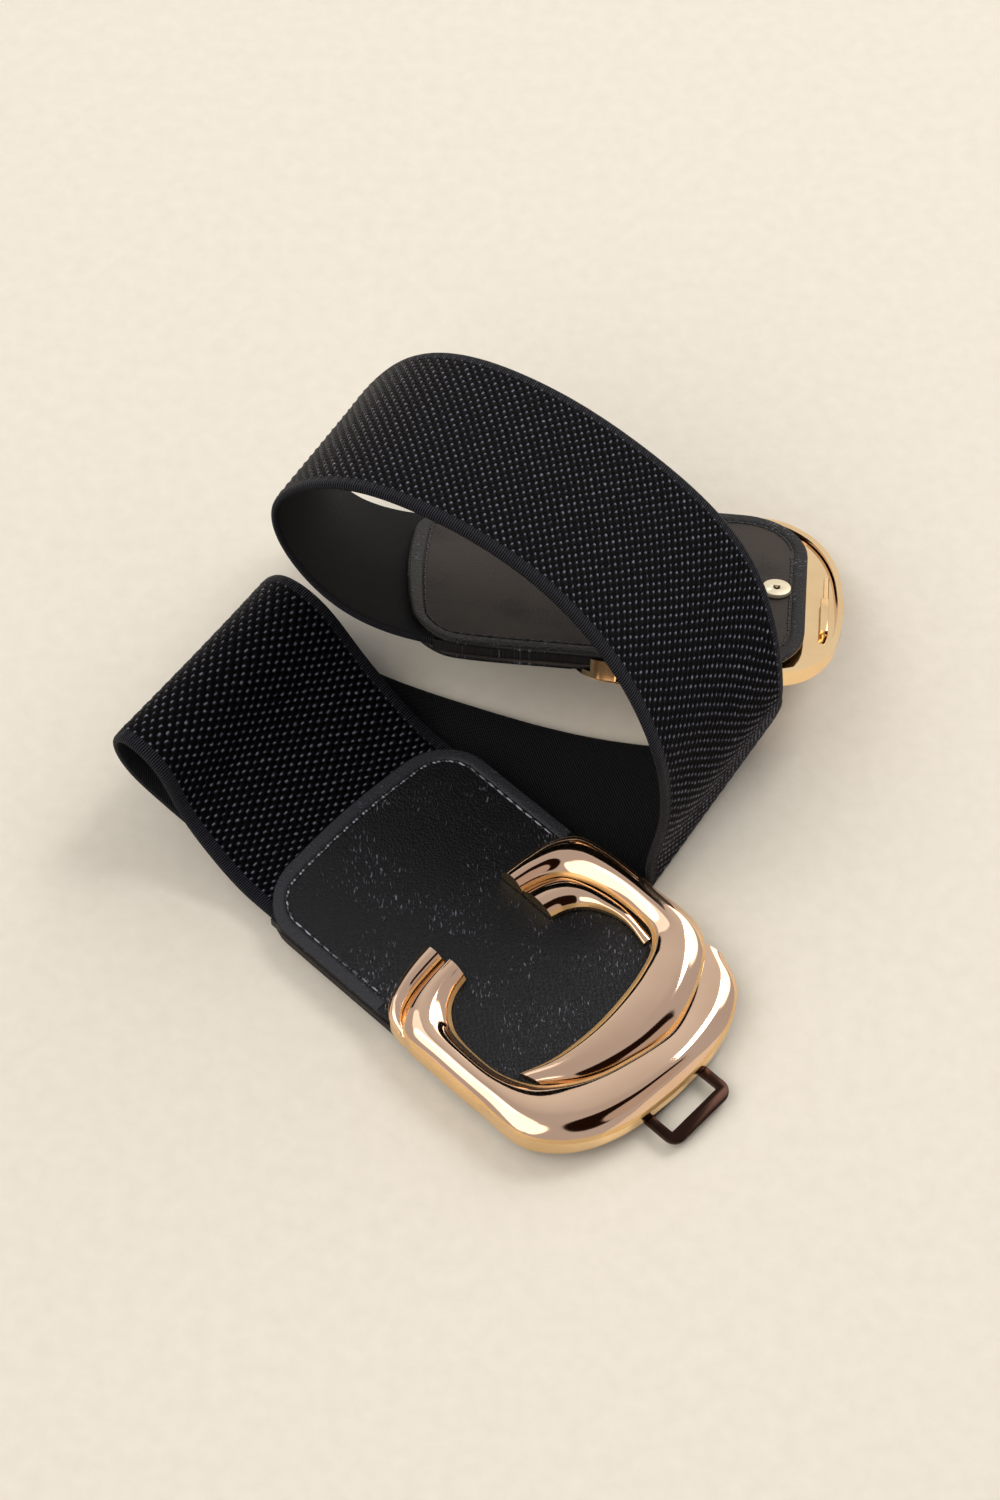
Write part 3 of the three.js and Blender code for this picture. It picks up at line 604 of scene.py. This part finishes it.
woven = int(lie.root_b / PICK)
elastic_stations = [-ELASTIC_TUCK, -ELASTIC_TUCK / 2] + [
    k * PICK / PICK_STEPS for k in range(-2 * PICK_STEPS, (woven + 2) * PICK_STEPS)
]
elastic_stations += [lie.root_b + ELASTIC_TUCK * share for share in (0.25, 0.5, 1)]
elastic_mesh = laid_strip(
    elastic_stations, lambda s: ELASTIC_WIDTH / 2, -ELASTIC_THICKNESS / 2, ELASTIC_THICKNESS / 2,
    BACK_COLUMNS, pick_relief, COLUMNS_A_SIDE)
flat_place = elastic_mesh.verts.layers.float_vector["flat"]
woven_half = COLUMN * COLUMNS_A_SIDE + 0.1
for polygon in elastic_mesh.faces:
    reaches = max(abs(v[flat_place][1]) for v in polygon.verts)
    if polygon.material_index == 0 and reaches > woven_half:
        polygon.material_index = 2
elastic = finished("elastic", elastic_mesh, [WEAVE, TWILL, SELVEDGE], ["elastic_band"], 80)

# Tabs


def corner_shares(count):
    """Shares of a corner's radius, closest together where the corner turns fastest."""
    return [1 - math.cos(math.pi / 2 * k / count) for k in range(count + 1)]


def tab_alongs(length):
    root = [share * ROOT_RADIUS for share in corner_shares(8)]
    end = [length - share * END_RADIUS for share in corner_shares(10)]
    return root + steps(ROOT_RADIUS, length - END_RADIUS, 30)[1:-1] + end[::-1]


def on_tab(end, along, aside, level):
    along = bowed(along, aside)
    station = -along if end == "a" else lie.root_b + along
    return laid(lie.place(station), aside, level)


# Steps across a tab, and how far inside the casting it is already narrowed to fit
TAB_COLUMNS = 24
NARROW_REACH = 4.5 * WALL_THICKNESS


def tab_layer(end, length, inside_half, bottom, top):
    narrow = CASTING_START + NARROW_REACH

    def half_at(station):
        along = -station if end == "a" else station - lie.root_b
        half = inside_half if along > narrow else TAB_WIDTH / 2
        return rounded_half(along, half, length)

    alongs = tab_alongs(length)
    stations = [-along if end == "a" else lie.root_b + along for along in alongs]
    bm = laid_strip(stations, half_at, bottom, top, TAB_COLUMNS)
    flat = bm.verts.layers.float_vector["flat"]
    for vertex in bm.verts:
        station, aside, level = vertex[flat]
        vertex.co = on_tab(end, -station if end == "a" else station - lie.root_b, aside, level)
    return bm


def arc(middle, radius, start, stop, count):
    """Points of an arc in plan, from one angle to another in degrees."""
    angles = [math.radians(a) for a in steps(start, stop, count)]
    return [Vector((middle[0] + radius * math.cos(a), middle[1] + radius * math.sin(a))) for a in angles]


# Steps round a tab's outline at its outer corners and at its root corners
TIP_STEPS = 14
ROOT_STEPS = 12


def tab_outline(half, length, inset):
    """A tab's outline in plan, from the tip back along the near side, round the root and out again."""
    root, tip = ROOT_RADIUS - inset, END_RADIUS - inset
    near, far = ROOT_RADIUS - half, half - ROOT_RADIUS
    points = arc((length - END_RADIUS, END_RADIUS - half), tip, 0, -90, TIP_STEPS)
    points += arc((ROOT_RADIUS, near), root, -90, -180, ROOT_STEPS)
    points += arc((ROOT_RADIUS, far), root, 180, 90, ROOT_STEPS)
    points += arc((length - END_RADIUS, half - END_RADIUS), tip, 90, 0, TIP_STEPS)
    return points + [points[0].copy()]


def evenly(points, pitch):
    """Points and directions at an even pitch along a path in plan."""
    lengths = [0]
    for k in range(1, len(points)):
        lengths.append(lengths[-1] + (points[k] - points[k - 1]).length)
    count = max(int(lengths[-1] / pitch), 2)
    found = []
    k = 0
    for at in steps(0, lengths[-1], count):
        while k < len(points) - 2 and lengths[k + 1] < at:
            k += 1
        share = (at - lengths[k]) / (lengths[k + 1] - lengths[k])
        found.append((points[k].lerp(points[k + 1], share), (points[k + 1] - points[k]).normalized()))
    return found


STRIP_PITCH = 1.2


def edge_strip(end, path, section, joined):
    """A strip swept round a tab: section points are (distance inwards, level)."""
    rows = evenly(path, STRIP_PITCH)
    bm, rings = sleeve(len(rows), len(section), joined)
    flat = bm.verts.layers.float_vector["flat"]
    for ring, (point, along) in zip(rings, rows):
        inward = Vector((-along.y, along.x))
        for vertex, (inset, level) in zip(ring, section):
            spot = point - inward * inset
            vertex.co = on_tab(end, spot.x, spot.y, level)
            vertex[flat] = (spot.x, spot.y, level)
    uv = bm.loops.layers.uv.new(CLOTH_MAP)
    for polygon in bm.faces:
        for loop in polygon.loops:
            loop[uv].uv = loop.vert[flat][:2]
    outward(bm)
    return bm


# Rims and stitches, with how far they run in under the casting, how much of a bead stands above the
# leather, and the raw edge between the two layers
RIM_WIDTH = 3.1
RIM_RISE = 0.26
STITCH_INSET = 3.55
STITCH_PITCH = 2.8
STITCH_LENGTH = 2.1
THREAD_RADIUS = 0.27
HOLE_LENGTH = 0.9
HOLE_RADIUS = 0.42
HOLE_RISE = 0.2
THREAD_LIFT = 0.35 * THREAD_RADIUS
RIM_END = CASTING_START + 3
SEAM_END = CASTING_START + 2
CORE_START = 5
CORE_WIDTH = 0.75
ROOT_END = ROOT_RADIUS + 0.01


def rim_section(face, rise):
    """A turned edge: flat underneath, softly crowned on top, with the face it lies on as its level."""
    low = face - math.copysign(0.05, rise)
    return [
        (0.25, low), (0.3, face + rise * 0.6), (0.8, face + rise), (2.2, face + rise),
        (RIM_WIDTH - 0.25, face + rise * 0.8), (RIM_WIDTH, low),
    ]


def stitching(end, rows):
    """Lock stitches: one slim bead of thread to a stitch, with a black bead after it as painted shade in
    the needle's hole. Rows hold a path in plan, its level and the thread's slot in the piece."""
    bm = bmesh.new()
    for path, level, thread in rows:
        for point, along in evenly(path, STITCH_PITCH)[1:-1]:
            lean = random.uniform(-0.08, 0.08)
            turned = Vector((along.x - lean * along.y, along.y + lean * along.x))
            across = Vector((-turned.y, turned.x))
            beads = [(0, STITCH_LENGTH / 2, THREAD_RADIUS, THREAD_RADIUS, thread)]
            # After each stitch a flattened black bead stands for the painted shade in the needle's hole.
            beads.append((STITCH_PITCH / 2, HOLE_LENGTH / 2, HOLE_RADIUS, HOLE_RISE, 0))
            for ahead, half_length, half_width, half_rise, slot in beads:
                made = bmesh.ops.create_uvsphere(bm, u_segments=6, v_segments=5, radius=1)["verts"]
                for vertex in made:
                    spot = point + turned * (ahead + vertex.co.z * half_length)
                    spot += across * vertex.co.x * half_width
                    vertex.co = on_tab(end, spot.x, spot.y, level + vertex.co.y * half_rise)
                for polygon in {f for v in made for f in v.link_faces}:
                    polygon.material_index = slot
    outward(bm)
    return bm


inside_half = CASTING_WIDTH / 2 - WALL_THICKNESS - CLEARANCE
front_face = FRONT_LEVEL + LEATHER_THICKNESS
half = TAB_WIDTH / 2
inner = inside_half - CLEARANCE
for end in "ab":
    round_root = [p for p in tab_outline(half, TAB_LENGTH, 0)[TIP_STEPS:-TIP_STEPS] if p.x < ROOT_END]
    cover = [Vector((RIM_END, -half))] + round_root + [Vector((RIM_END, half))]
    rim = edge_strip(end, cover, rim_section(front_face, RIM_RISE), False)
    finished(f"turned_edge_front_{end}", rim, [TURNED_LEATHER], sharp=50)
    stitched = tab_outline(half, TAB_LENGTH, STITCH_INSET)
    seam = [Vector((SEAM_END, STITCH_INSET - half))]
    seam += [p for p in stitched[TIP_STEPS : -TIP_STEPS - 1] if p.x < ROOT_END]
    seam.append(Vector((SEAM_END, half - STITCH_INSET)))
    # The front seam's stitches take slot 1, the grey thread coloured as a painted highlight.
    rows = [(seam, front_face + THREAD_LIFT, 1)]
    if end == "b":
        rows.append((stitched, LINING_BACK - THREAD_LIFT, 0))
        back_rim = rim_section(LINING_BACK, -RIM_RISE)
        rim = edge_strip(end, tab_outline(half, TAB_LENGTH, 0), back_rim, True)
        finished("turned_edge_back_b", rim, [LEATHER], sharp=50)
    threads = [BLACK_THREAD_AND_HOLE_SHADE, PAINTED_HIGHLIGHT_THREAD]
    finished(f"stitching_{end}", stitching(end, rows), threads, sharp=80)
    board = tab_outline(inner, TAB_LENGTH - 1, 0)
    board = board[TIP_STEPS:0:-1] + board[-2 : -TIP_STEPS - 2 : -1]
    board = [Vector((CORE_START, -inner))] + board + [Vector((CORE_START, inner))]
    core = [(0, LINING_LEVEL), (0, FRONT_LEVEL), (-CORE_WIDTH, FRONT_LEVEL), (-CORE_WIDTH, LINING_LEVEL)]
    finished(f"edge_core_{end}", edge_strip(end, board, core, False), [LEATHER], sharp=50)
for end in "ab":
    front = tab_layer(end, TAB_LENGTH - CLEARANCE, inside_half, FRONT_LEVEL, front_face)
    finished(f"leather_front_{end}", front, [LEATHER, LINING, LEATHER], [f"tab_front_{end}"], 60)
    back = tab_layer(end, TAB_LENGTH, half, LINING_BACK, LINING_LEVEL)
    finished(f"leather_lining_{end}", back, [LINING, LINING, LEATHER], [f"tab_lining_{end}"], 60)

# Castings

# Each row is a section of one strand from its outer edge to its inner edge: along as a share of the
# casting's length, aside of its half width, then the heights of edge, crest and inner edge
STRAND_ONE = [
    (0, 0.36, 0.1, 0.36, 0.62, 0.98, 0.6),
    (0.01, 0.56, 0.12, 0.51, 0.63, 1, 0.6),
    (0.035, 0.79, 0.15, 0.62, 0.64, 1, 0.6),
    (0.09, 0.94, 0.21, 0.69, 0.64, 1, 0.6),
    (0.2, 0.99, 0.29, 0.74, 0.64, 1, 0.6),
    (0.42, 1, 0.42, 0.76, 0.64, 1, 0.6),
    (0.62, 0.99, 0.53, 0.73, 0.66, 1, 0.66),
    (0.71, 0.89, 0.585, 0.62, 0.68, 1, 0.72),
    (0.79, 0.66, 0.62, 0.43, 0.7, 1, 0.75),
    (0.84, 0.36, 0.64, 0.2, 0.68, 0.98, 0.75),
    (0.85, 0.1, 0.647, -0.03, 0.6, 0.92, 0.72),
    (0.82, -0.15, 0.64, -0.25, 0.55, 0.84, 0.67),
    (0.76, -0.39, 0.62, -0.45, 0.52, 0.74, 0.6),
    (0.655, -0.61, 0.577, -0.65, 0.5, 0.6, 0.52),
]
STRAND_TWO = [
    (0.087, -0.39, 0.197, -0.39, 0.62, 0.98, 0.58),
    (0.094, -0.57, 0.21, -0.51, 0.63, 1, 0.58),
    (0.11, -0.75, 0.24, -0.62, 0.64, 1, 0.58),
    (0.14, -0.89, 0.28, -0.69, 0.64, 1, 0.58),
    (0.19, -0.98, 0.32, -0.73, 0.64, 1, 0.58),
    (0.35, -1, 0.42, -0.755, 0.64, 1, 0.58),
    (0.555, -1, 0.54, -0.74, 0.64, 1, 0.58),
    (0.75, -0.985, 0.655, -0.64, 0.62, 1, 0.62),
    (0.857, -0.85, 0.73, -0.49, 0.56, 1, 0.7),
    (0.928, -0.66, 0.785, -0.305, 0.48, 1, 0.76),
    (0.975, -0.41, 0.82, -0.08, 0.4, 1, 0.78),
    (0.995, -0.13, 0.84, 0.115, 0.36, 0.97, 0.74),
    (1, 0.13, 0.84, 0.295, 0.36, 0.9, 0.62),
    (0.99, 0.39, 0.807, 0.49, 0.38, 0.82, 0.54),
    (0.955, 0.64, 0.765, 0.655, 0.42, 0.76, 0.52),
    (0.88, 0.84, 0.706, 0.787, 0.46, 0.7, 0.5),
    (0.765, 0.945, 0.64, 0.885, 0.5, 0.62, 0.5),
]
OUTER_RIB = [
    (0.01, -0.41, 0.085, -0.4, 0.62, 0.9, 0.72),
    (0.018, -0.55, 0.092, -0.56, 0.62, 0.9, 0.72),
    (0.037, -0.715, 0.106, -0.74, 0.62, 0.88, 0.7),
    (0.064, -0.86, 0.134, -0.88, 0.62, 0.84, 0.68),
    (0.11, -0.955, 0.17, -0.945, 0.6, 0.74, 0.64),
    (0.185, -0.995, 0.24, -0.965, 0.56, 0.6, 0.58),
]
INNER_RIB = [
    (0.104, 0.362, 0.242, 0.354, 0.66, 0.9, 0.62),
    (0.128, 0.515, 0.26, 0.46, 0.66, 0.9, 0.62),
    (0.17, 0.63, 0.3, 0.565, 0.66, 0.88, 0.62),
    (0.26, 0.705, 0.37, 0.643, 0.64, 0.82, 0.6),
    (0.4, 0.745, 0.445, 0.67, 0.58, 0.7, 0.58),
    (0.55, 0.7, 0.546, 0.635, 0.55, 0.58, 0.54),
]
CREST_SHARE = 0.42
OUTER_POWER = 2.2
INNER_POWER = 2.4
DOME_STEPS = 22
# The shares of the dome by its outer and inner edges take the yellow edge gold as a painted reflection; the
# inner one also sets where the inner bevel starts.
OUTER_BAND = 0.07
INNER_BAND = 0.1
# How much of the fall to the inner edge is left to its bevel: from where a strand starts to where it ends
BEVEL_FIRST = 0.34
BEVEL_LAST = 0.72


def through(points, at):
    """A point on the centripetal spline through points, with at from 0 to 1."""
    last = len(points) - 1
    k = min(int(at * last), last - 1)
    weight = at * last - k
    first = points[k - 1] if k > 0 else points[0] * 2 - points[1]
    fourth = points[k + 2] if k + 2 <= last else points[last] * 2 - points[last - 1]
    p = [first, points[k], points[k + 1], fourth]
    gaps = [max((p[i + 1] - p[i]).length_squared ** 0.25, 1e-4) for i in range(3)]
    t1 = ((p[1] - p[0]) / gaps[0] - (p[2] - p[0]) / (gaps[0] + gaps[1]) + (p[2] - p[1]) / gaps[1]) * gaps[1]
    t2 = ((p[2] - p[1]) / gaps[1] - (p[3] - p[1]) / (gaps[1] + gaps[2]) + (p[3] - p[2]) / gaps[2]) * gaps[1]
    w2, w3 = weight * weight, weight**3
    points = p[1] * (2 * w3 - 3 * w2 + 1) + p[2] * (3 * w2 - 2 * w3)
    return points + t1 * (w3 - 2 * w2 + weight) + t2 * (w3 - w2)


def strand_sections(rows, per_row):
    def level(share):
        return WALL_FOOT + share * CASTING_HEIGHT

    def spot(along, aside, height):
        return Vector((CASTING_START + along * CASTING_LENGTH, aside * CASTING_WIDTH / 2, level(height)))

    outer = [spot(row[0], row[1], row[4]) for row in rows]
    inner = [spot(row[2], row[3], row[6]) for row in rows]
    crests = [Vector((k, 0, level(row[5]))) for k, row in enumerate(rows)]
    ats = steps(0, 1, (len(rows) - 1) * per_row)
    return [(through(outer, at), through(inner, at), through(crests, at).z) for at in ats]


def strand_mesh(rows, per_row, foot=WALL_FOOT):
    """One domed strand as a closed body in the end's own frame, in millimetres."""
    sections = strand_sections(rows, per_row)
    bm, rings = sleeve(len(sections), DOME_STEPS + 3)
    wall = bm.verts.layers.int["face_side"]
    body_end = (1 - INNER_BAND - CREST_SHARE) / (1 - CREST_SHARE)
    for number, (ring, (outer, inner, crest)) in enumerate(zip(rings, sections)):
        turned = min(max(5 * number / len(sections) - 1.8, 0), 1)
        bevel = BEVEL_FIRST + (BEVEL_LAST - BEVEL_FIRST) * turned
        points = [Vector((outer.x, outer.y, foot))]
        for k in range(DOME_STEPS + 1):
            share = k / DOME_STEPS
            point = outer.lerp(inner, share)
            if share < CREST_SHARE:
                drop = (crest - outer.z) * (1 - share / CREST_SHARE) ** OUTER_POWER
            else:
                away = (share - CREST_SHARE) / (1 - CREST_SHARE)
                fall = (1 - bevel) * min(away / body_end, 1) ** INNER_POWER
                fall += bevel * max(away - body_end, 0) / (1 - body_end)
                drop = (crest - inner.z) * fall
            point.z = crest - drop
            points.append(point)
        points.append(Vector((inner.x, inner.y, foot)))
        for k, (vertex, point) in enumerate(zip(ring, points)):
            vertex.co = point
            share = (k - 1) / DOME_STEPS
            if k in (0, len(points) - 1):
                vertex[wall] = 1
            elif share <= OUTER_BAND or share >= 1 - INNER_BAND:
                vertex[wall] = 2
    # Painted reflection: the walls take the yellow gold and the bands by the edges the yellow edge gold, on
    # one rose gold casting.
    for polygon in bm.faces:
        sides = [v[wall] for v in polygon.verts]
        polygon.material_index = 1 if 1 in sides else min(sides)
    outward(bm)
    return bm


def pocket_mesh():
    """The hollow behind the casting, in which the leather's end lies."""
    along = 1 - WALL_THICKNESS / CASTING_LENGTH
    aside = 1 - 2 * WALL_THICKNESS / CASTING_WIDTH
    half = CASTING_WIDTH / 2 - WALL_THICKNESS
    outline = [
        Vector((CASTING_START + (outer.x - CASTING_START) * along, outer.y * aside))
        for outer, _, _ in strand_sections(STRAND_TWO[6:], 4)
    ]
    shoulder = Vector((outline[-1].x - ROOT_RADIUS / 2, half))
    outline = [Vector((0, -half))] + outline + [shoulder, Vector((0, half))]
    bm = bmesh.new()
    ring = [bm.verts.new((p.x, p.y, WALL_FOOT - CASTING_HEIGHT)) for p in outline]
    bottom = bmesh.ops.contextual_create(bm, geom=ring)["faces"]
    raised = bmesh.ops.extrude_face_region(bm, geom=bottom)
    tops = [v for v in raised["geom"] if isinstance(v, bmesh.types.BMVert)]
    bmesh.ops.translate(bm, verts=tops, vec=(0, 0, POCKET_TOP - WALL_FOOT + CASTING_HEIGHT))
    if not any(f.normal.z < -0.5 for f in bm.faces):
        bmesh.ops.contextual_create(bm, geom=ring)
    outward(bm)
    return bm


def loose_object(name, bm, materials=()):
    mesh = bpy.data.meshes.new(name)
    bm.to_mesh(mesh)
    bm.free()
    for material in materials:
        mesh.materials.append(material)
    piece = bpy.data.objects.new(name, mesh)
    bpy.context.scene.collection.objects.link(piece)
    return piece


def cut_by(piece, cutter):
    """The piece's mesh less the cutter's, as a new bmesh. The piece is removed; the cutter is left to the
    caller.
    """
    modifier = piece.modifiers.new("cut", "BOOLEAN")
    modifier.operation = "DIFFERENCE"
    modifier.solver = "EXACT"
    modifier.object = cutter
    bpy.context.view_layer.update()
    shape = piece.evaluated_get(bpy.context.evaluated_depsgraph_get())
    bm = bmesh.new()
    bm.from_mesh(shape.to_mesh())
    shape.to_mesh_clear()
    bpy.data.objects.remove(piece)
    return bm


# name, rows, sections to a row
STRANDS = [
    ("long_strand", STRAND_ONE, 9),
    ("wide_strand", STRAND_TWO, 8),
    ("outer_rib", OUTER_RIB, 8),
    ("inner_rib", INNER_RIB, 8),
]


def in_place(bm, end):
    bmesh.ops.transform(bm, matrix=Matrix.Scale(MM, 4) @ lie.end_matrix(end), verts=bm.verts)


for end in "ab":
    for name, rows, per_row in STRANDS:
        golds = [ROSE_GOLD, YELLOW_GOLD, EDGE_REFLECTION_GOLD]
        body = loose_object("body", strand_mesh(rows, per_row), golds)
        hollow = loose_object("hollow", pocket_mesh())
        shape = cut_by(body, hollow)
        bpy.data.objects.remove(hollow)
        in_place(shape, end)
        stands_for = [f"buckle_half_{end}"] if name == "wide_strand" else []
        finished(f"{name}_{end}", shape, golds, stands_for, 32)

# Stamped parts and screws


def star_recess(end):
    """The four-pointed driver's recess in a screw's head, as a cutter in its place."""
    bm = bmesh.new()
    ring = bmesh.ops.create_circle(bm, cap_ends=True, segments=8, radius=STAR_RADIUS)["verts"]
    for vertex in ring[::2]:
        vertex.co *= STAR_WAIST
    raised = bmesh.ops.extrude_face_region(bm, geom=bm.faces[:], use_keep_orig=True)
    tops = [v for v in raised["geom"] if isinstance(v, bmesh.types.BMVert)]
    bmesh.ops.translate(bm, verts=tops, vec=(0, 0, 2 * STAR_DEPTH))
    lowest = LINING_BACK - SCREW_HEAD_HEIGHT - STAR_DEPTH
    bmesh.ops.translate(bm, verts=bm.verts, vec=(SCREW_ALONG, 0, lowest))
    # The recess's faces take the screw's second slot, dark bronze, as painted shade in the recess.
    for polygon in bm.faces:
        polygon.material_index = 1
    outward(bm)
    in_place(bm, end)
    return loose_object("recess", bm)


def softened(node, name, materials, edge, cutter=None):
    """A stamped part as a copy of its CAD solid, its flat faces merged and its edges rounded."""
    bm = bmesh.new()
    bm.from_mesh(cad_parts[node].data)
    bmesh.ops.remove_doubles(bm, verts=bm.verts, dist=1e-6)
    bmesh.ops.dissolve_limit(bm, angle_limit=math.radians(2), verts=bm.verts, edges=bm.edges)
    edges = [e for e in bm.edges if e.is_manifold and e.calc_face_angle(0) > math.radians(35)]
    bmesh.ops.bevel(
        bm, geom=edges, offset=edge * MM, segments=2, profile=0.5, affect="EDGES", material=-1,
        clamp_overlap=True)
    for polygon in bm.faces:
        polygon.material_index = 0
    if cutter:
        bm = cut_by(loose_object("whole", bm), cutter)
        bpy.data.objects.remove(cutter)
    return finished(name, bm, materials, [node], 35)


# The plate behind casting B, in millimetres: where it starts, its level, how far its rim turns down
PLATE_START = TAB_LENGTH - 4
PLATE_LEVEL = 0.1
PLATE_DROP = 0.8
PLATE_THICKNESS = 0.7
PLATE_STEPS = 12


def inner_plate():
    """The plate that closes the casting's outer end behind the leather: a crowned sheet whose rim turns
    down to the wall, in the end's own frame, in millimetres."""
    half = CASTING_WIDTH / 2 - WALL_THICKNESS - CLEARANCE
    rows = strand_sections(STRAND_TWO[4:], 6)
    aside = 1 - 2 * (WALL_THICKNESS + CLEARANCE) / CASTING_WIDTH
    along = 1 - (WALL_THICKNESS + CLEARANCE) / CASTING_LENGTH
    rim = [
        Vector((CASTING_START + (outer.x - CASTING_START) * along, min(outer.y * aside, half)))
        for outer, _, _ in rows
    ]
    rim = [p for p in rim if p.x > PLATE_START]
    bm, rings = sleeve(len(rim), 2 * (PLATE_STEPS + 1))
    for ring, point in zip(rings, rim):
        reach = (point.x - PLATE_START) / (CASTING_START + CASTING_LENGTH - PLATE_START)
        for k in range(PLATE_STEPS + 1):
            share = k / PLATE_STEPS
            crown = PLATE_LEVEL + PLATE_DROP * (share * reach) ** 3
            spot = (point.x + (PLATE_START - point.x) * (1 - share), point.y, crown)
            ring[k].co = spot
            ring[2 * PLATE_STEPS + 1 - k].co = (spot[0], spot[1], crown + PLATE_THICKNESS)
    for polygon in bm.faces:
        polygon.material_index = 0
    outward(bm)
    return bm


plate = inner_plate()
in_place(plate, "b")
finished("inner_plate_b", plate, [YELLOW_GOLD], sharp=50)

softened("catch_loop", "bronze_catch_loop", [BRONZE_AND_RECESS_SHADE], 0.22)
softened("hook", "folded_hook", [YELLOW_GOLD], 0.2)
for end in "ab":
    # The screws' second slot, dark bronze, is painted shade in the star recess.
    softened(f"screw_{end}", f"clamp_screw_{end}", [NICKEL, BRONZE_AND_RECESS_SHADE], 0.12, star_recess(end))

# Floor and light
bpy.ops.mesh.primitive_plane_add(size=6, location=(0, 0, -0.0001))
floor = bpy.context.object
floor.name = "floor"
floor.data.materials.append(PLASTER)

world = bpy.data.worlds.new("studio")
bpy.context.scene.world = world
world.use_nodes = True
world_tree = world.node_tree
world_tree.nodes.clear()
direction = add(world_tree, "ShaderNodeTexCoord")["Generated"]


def over(base, colour, strength, heading, height, inner, outer):
    """Lays a soft round patch of light or shade over the studio's surroundings."""
    both = {0: direction, 1: compass(heading, height)}
    facing = add(world_tree, VECTOR, both, operation="DOT_PRODUCT")["Value"]
    ends = {"From Min": math.cos(math.radians(outer)), "From Max": math.cos(math.radians(inner))}
    mask = add(world_tree, MAP, {0: facing, **ends}, interpolation_type="SMOOTHSTEP")[0]
    lit = [c * strength for c in linear(colour)[:3]] + [1]
    return add(world_tree, "ShaderNodeMix", {0: mask, 6: base, 7: lit}, data_type="RGBA")[2]


sky = over(linear("#cdcbce"), "#ffffff", 0.9, 90, 25, 10, 50)
sky = over(sky, "#fffaf4", 2.6, 210, 46, 27, 31)
sky = over(sky, "#fffaf4", 2.6, 238, 46, 18, 21)
sky = over(sky, "#fffaf4", 3.2, 46, 30, 18, 22)
sky = over(sky, "#2c1a12", 0.6, -40, 45, 26, 29)
sky = over(sky, "#cfc2bd", 0.95, -30, 29, 18, 20)
background = add(world_tree, "ShaderNodeBackground", {0: sky, "Strength": 0.84})[0]
add(world_tree, "ShaderNodeOutputWorld", {0: background})


def softbox(name, heading, height, distance, size, power):
    data = bpy.data.lights.new(name, "AREA")
    data.shape = "SQUARE"
    data.size = size
    data.energy = power
    light = bpy.data.objects.new(name, data)
    bpy.context.scene.collection.objects.link(light)
    light.location = LOOK_AT + compass(heading, height) * distance
    light.rotation_euler = (LOOK_AT - light.location).to_track_quat("-Z", "Y").to_euler()


softbox("key", 44, 50, 2.0, 0.72, 11.6)
softbox("fill", 165, 52, 1.6, 1.2, 3.6)
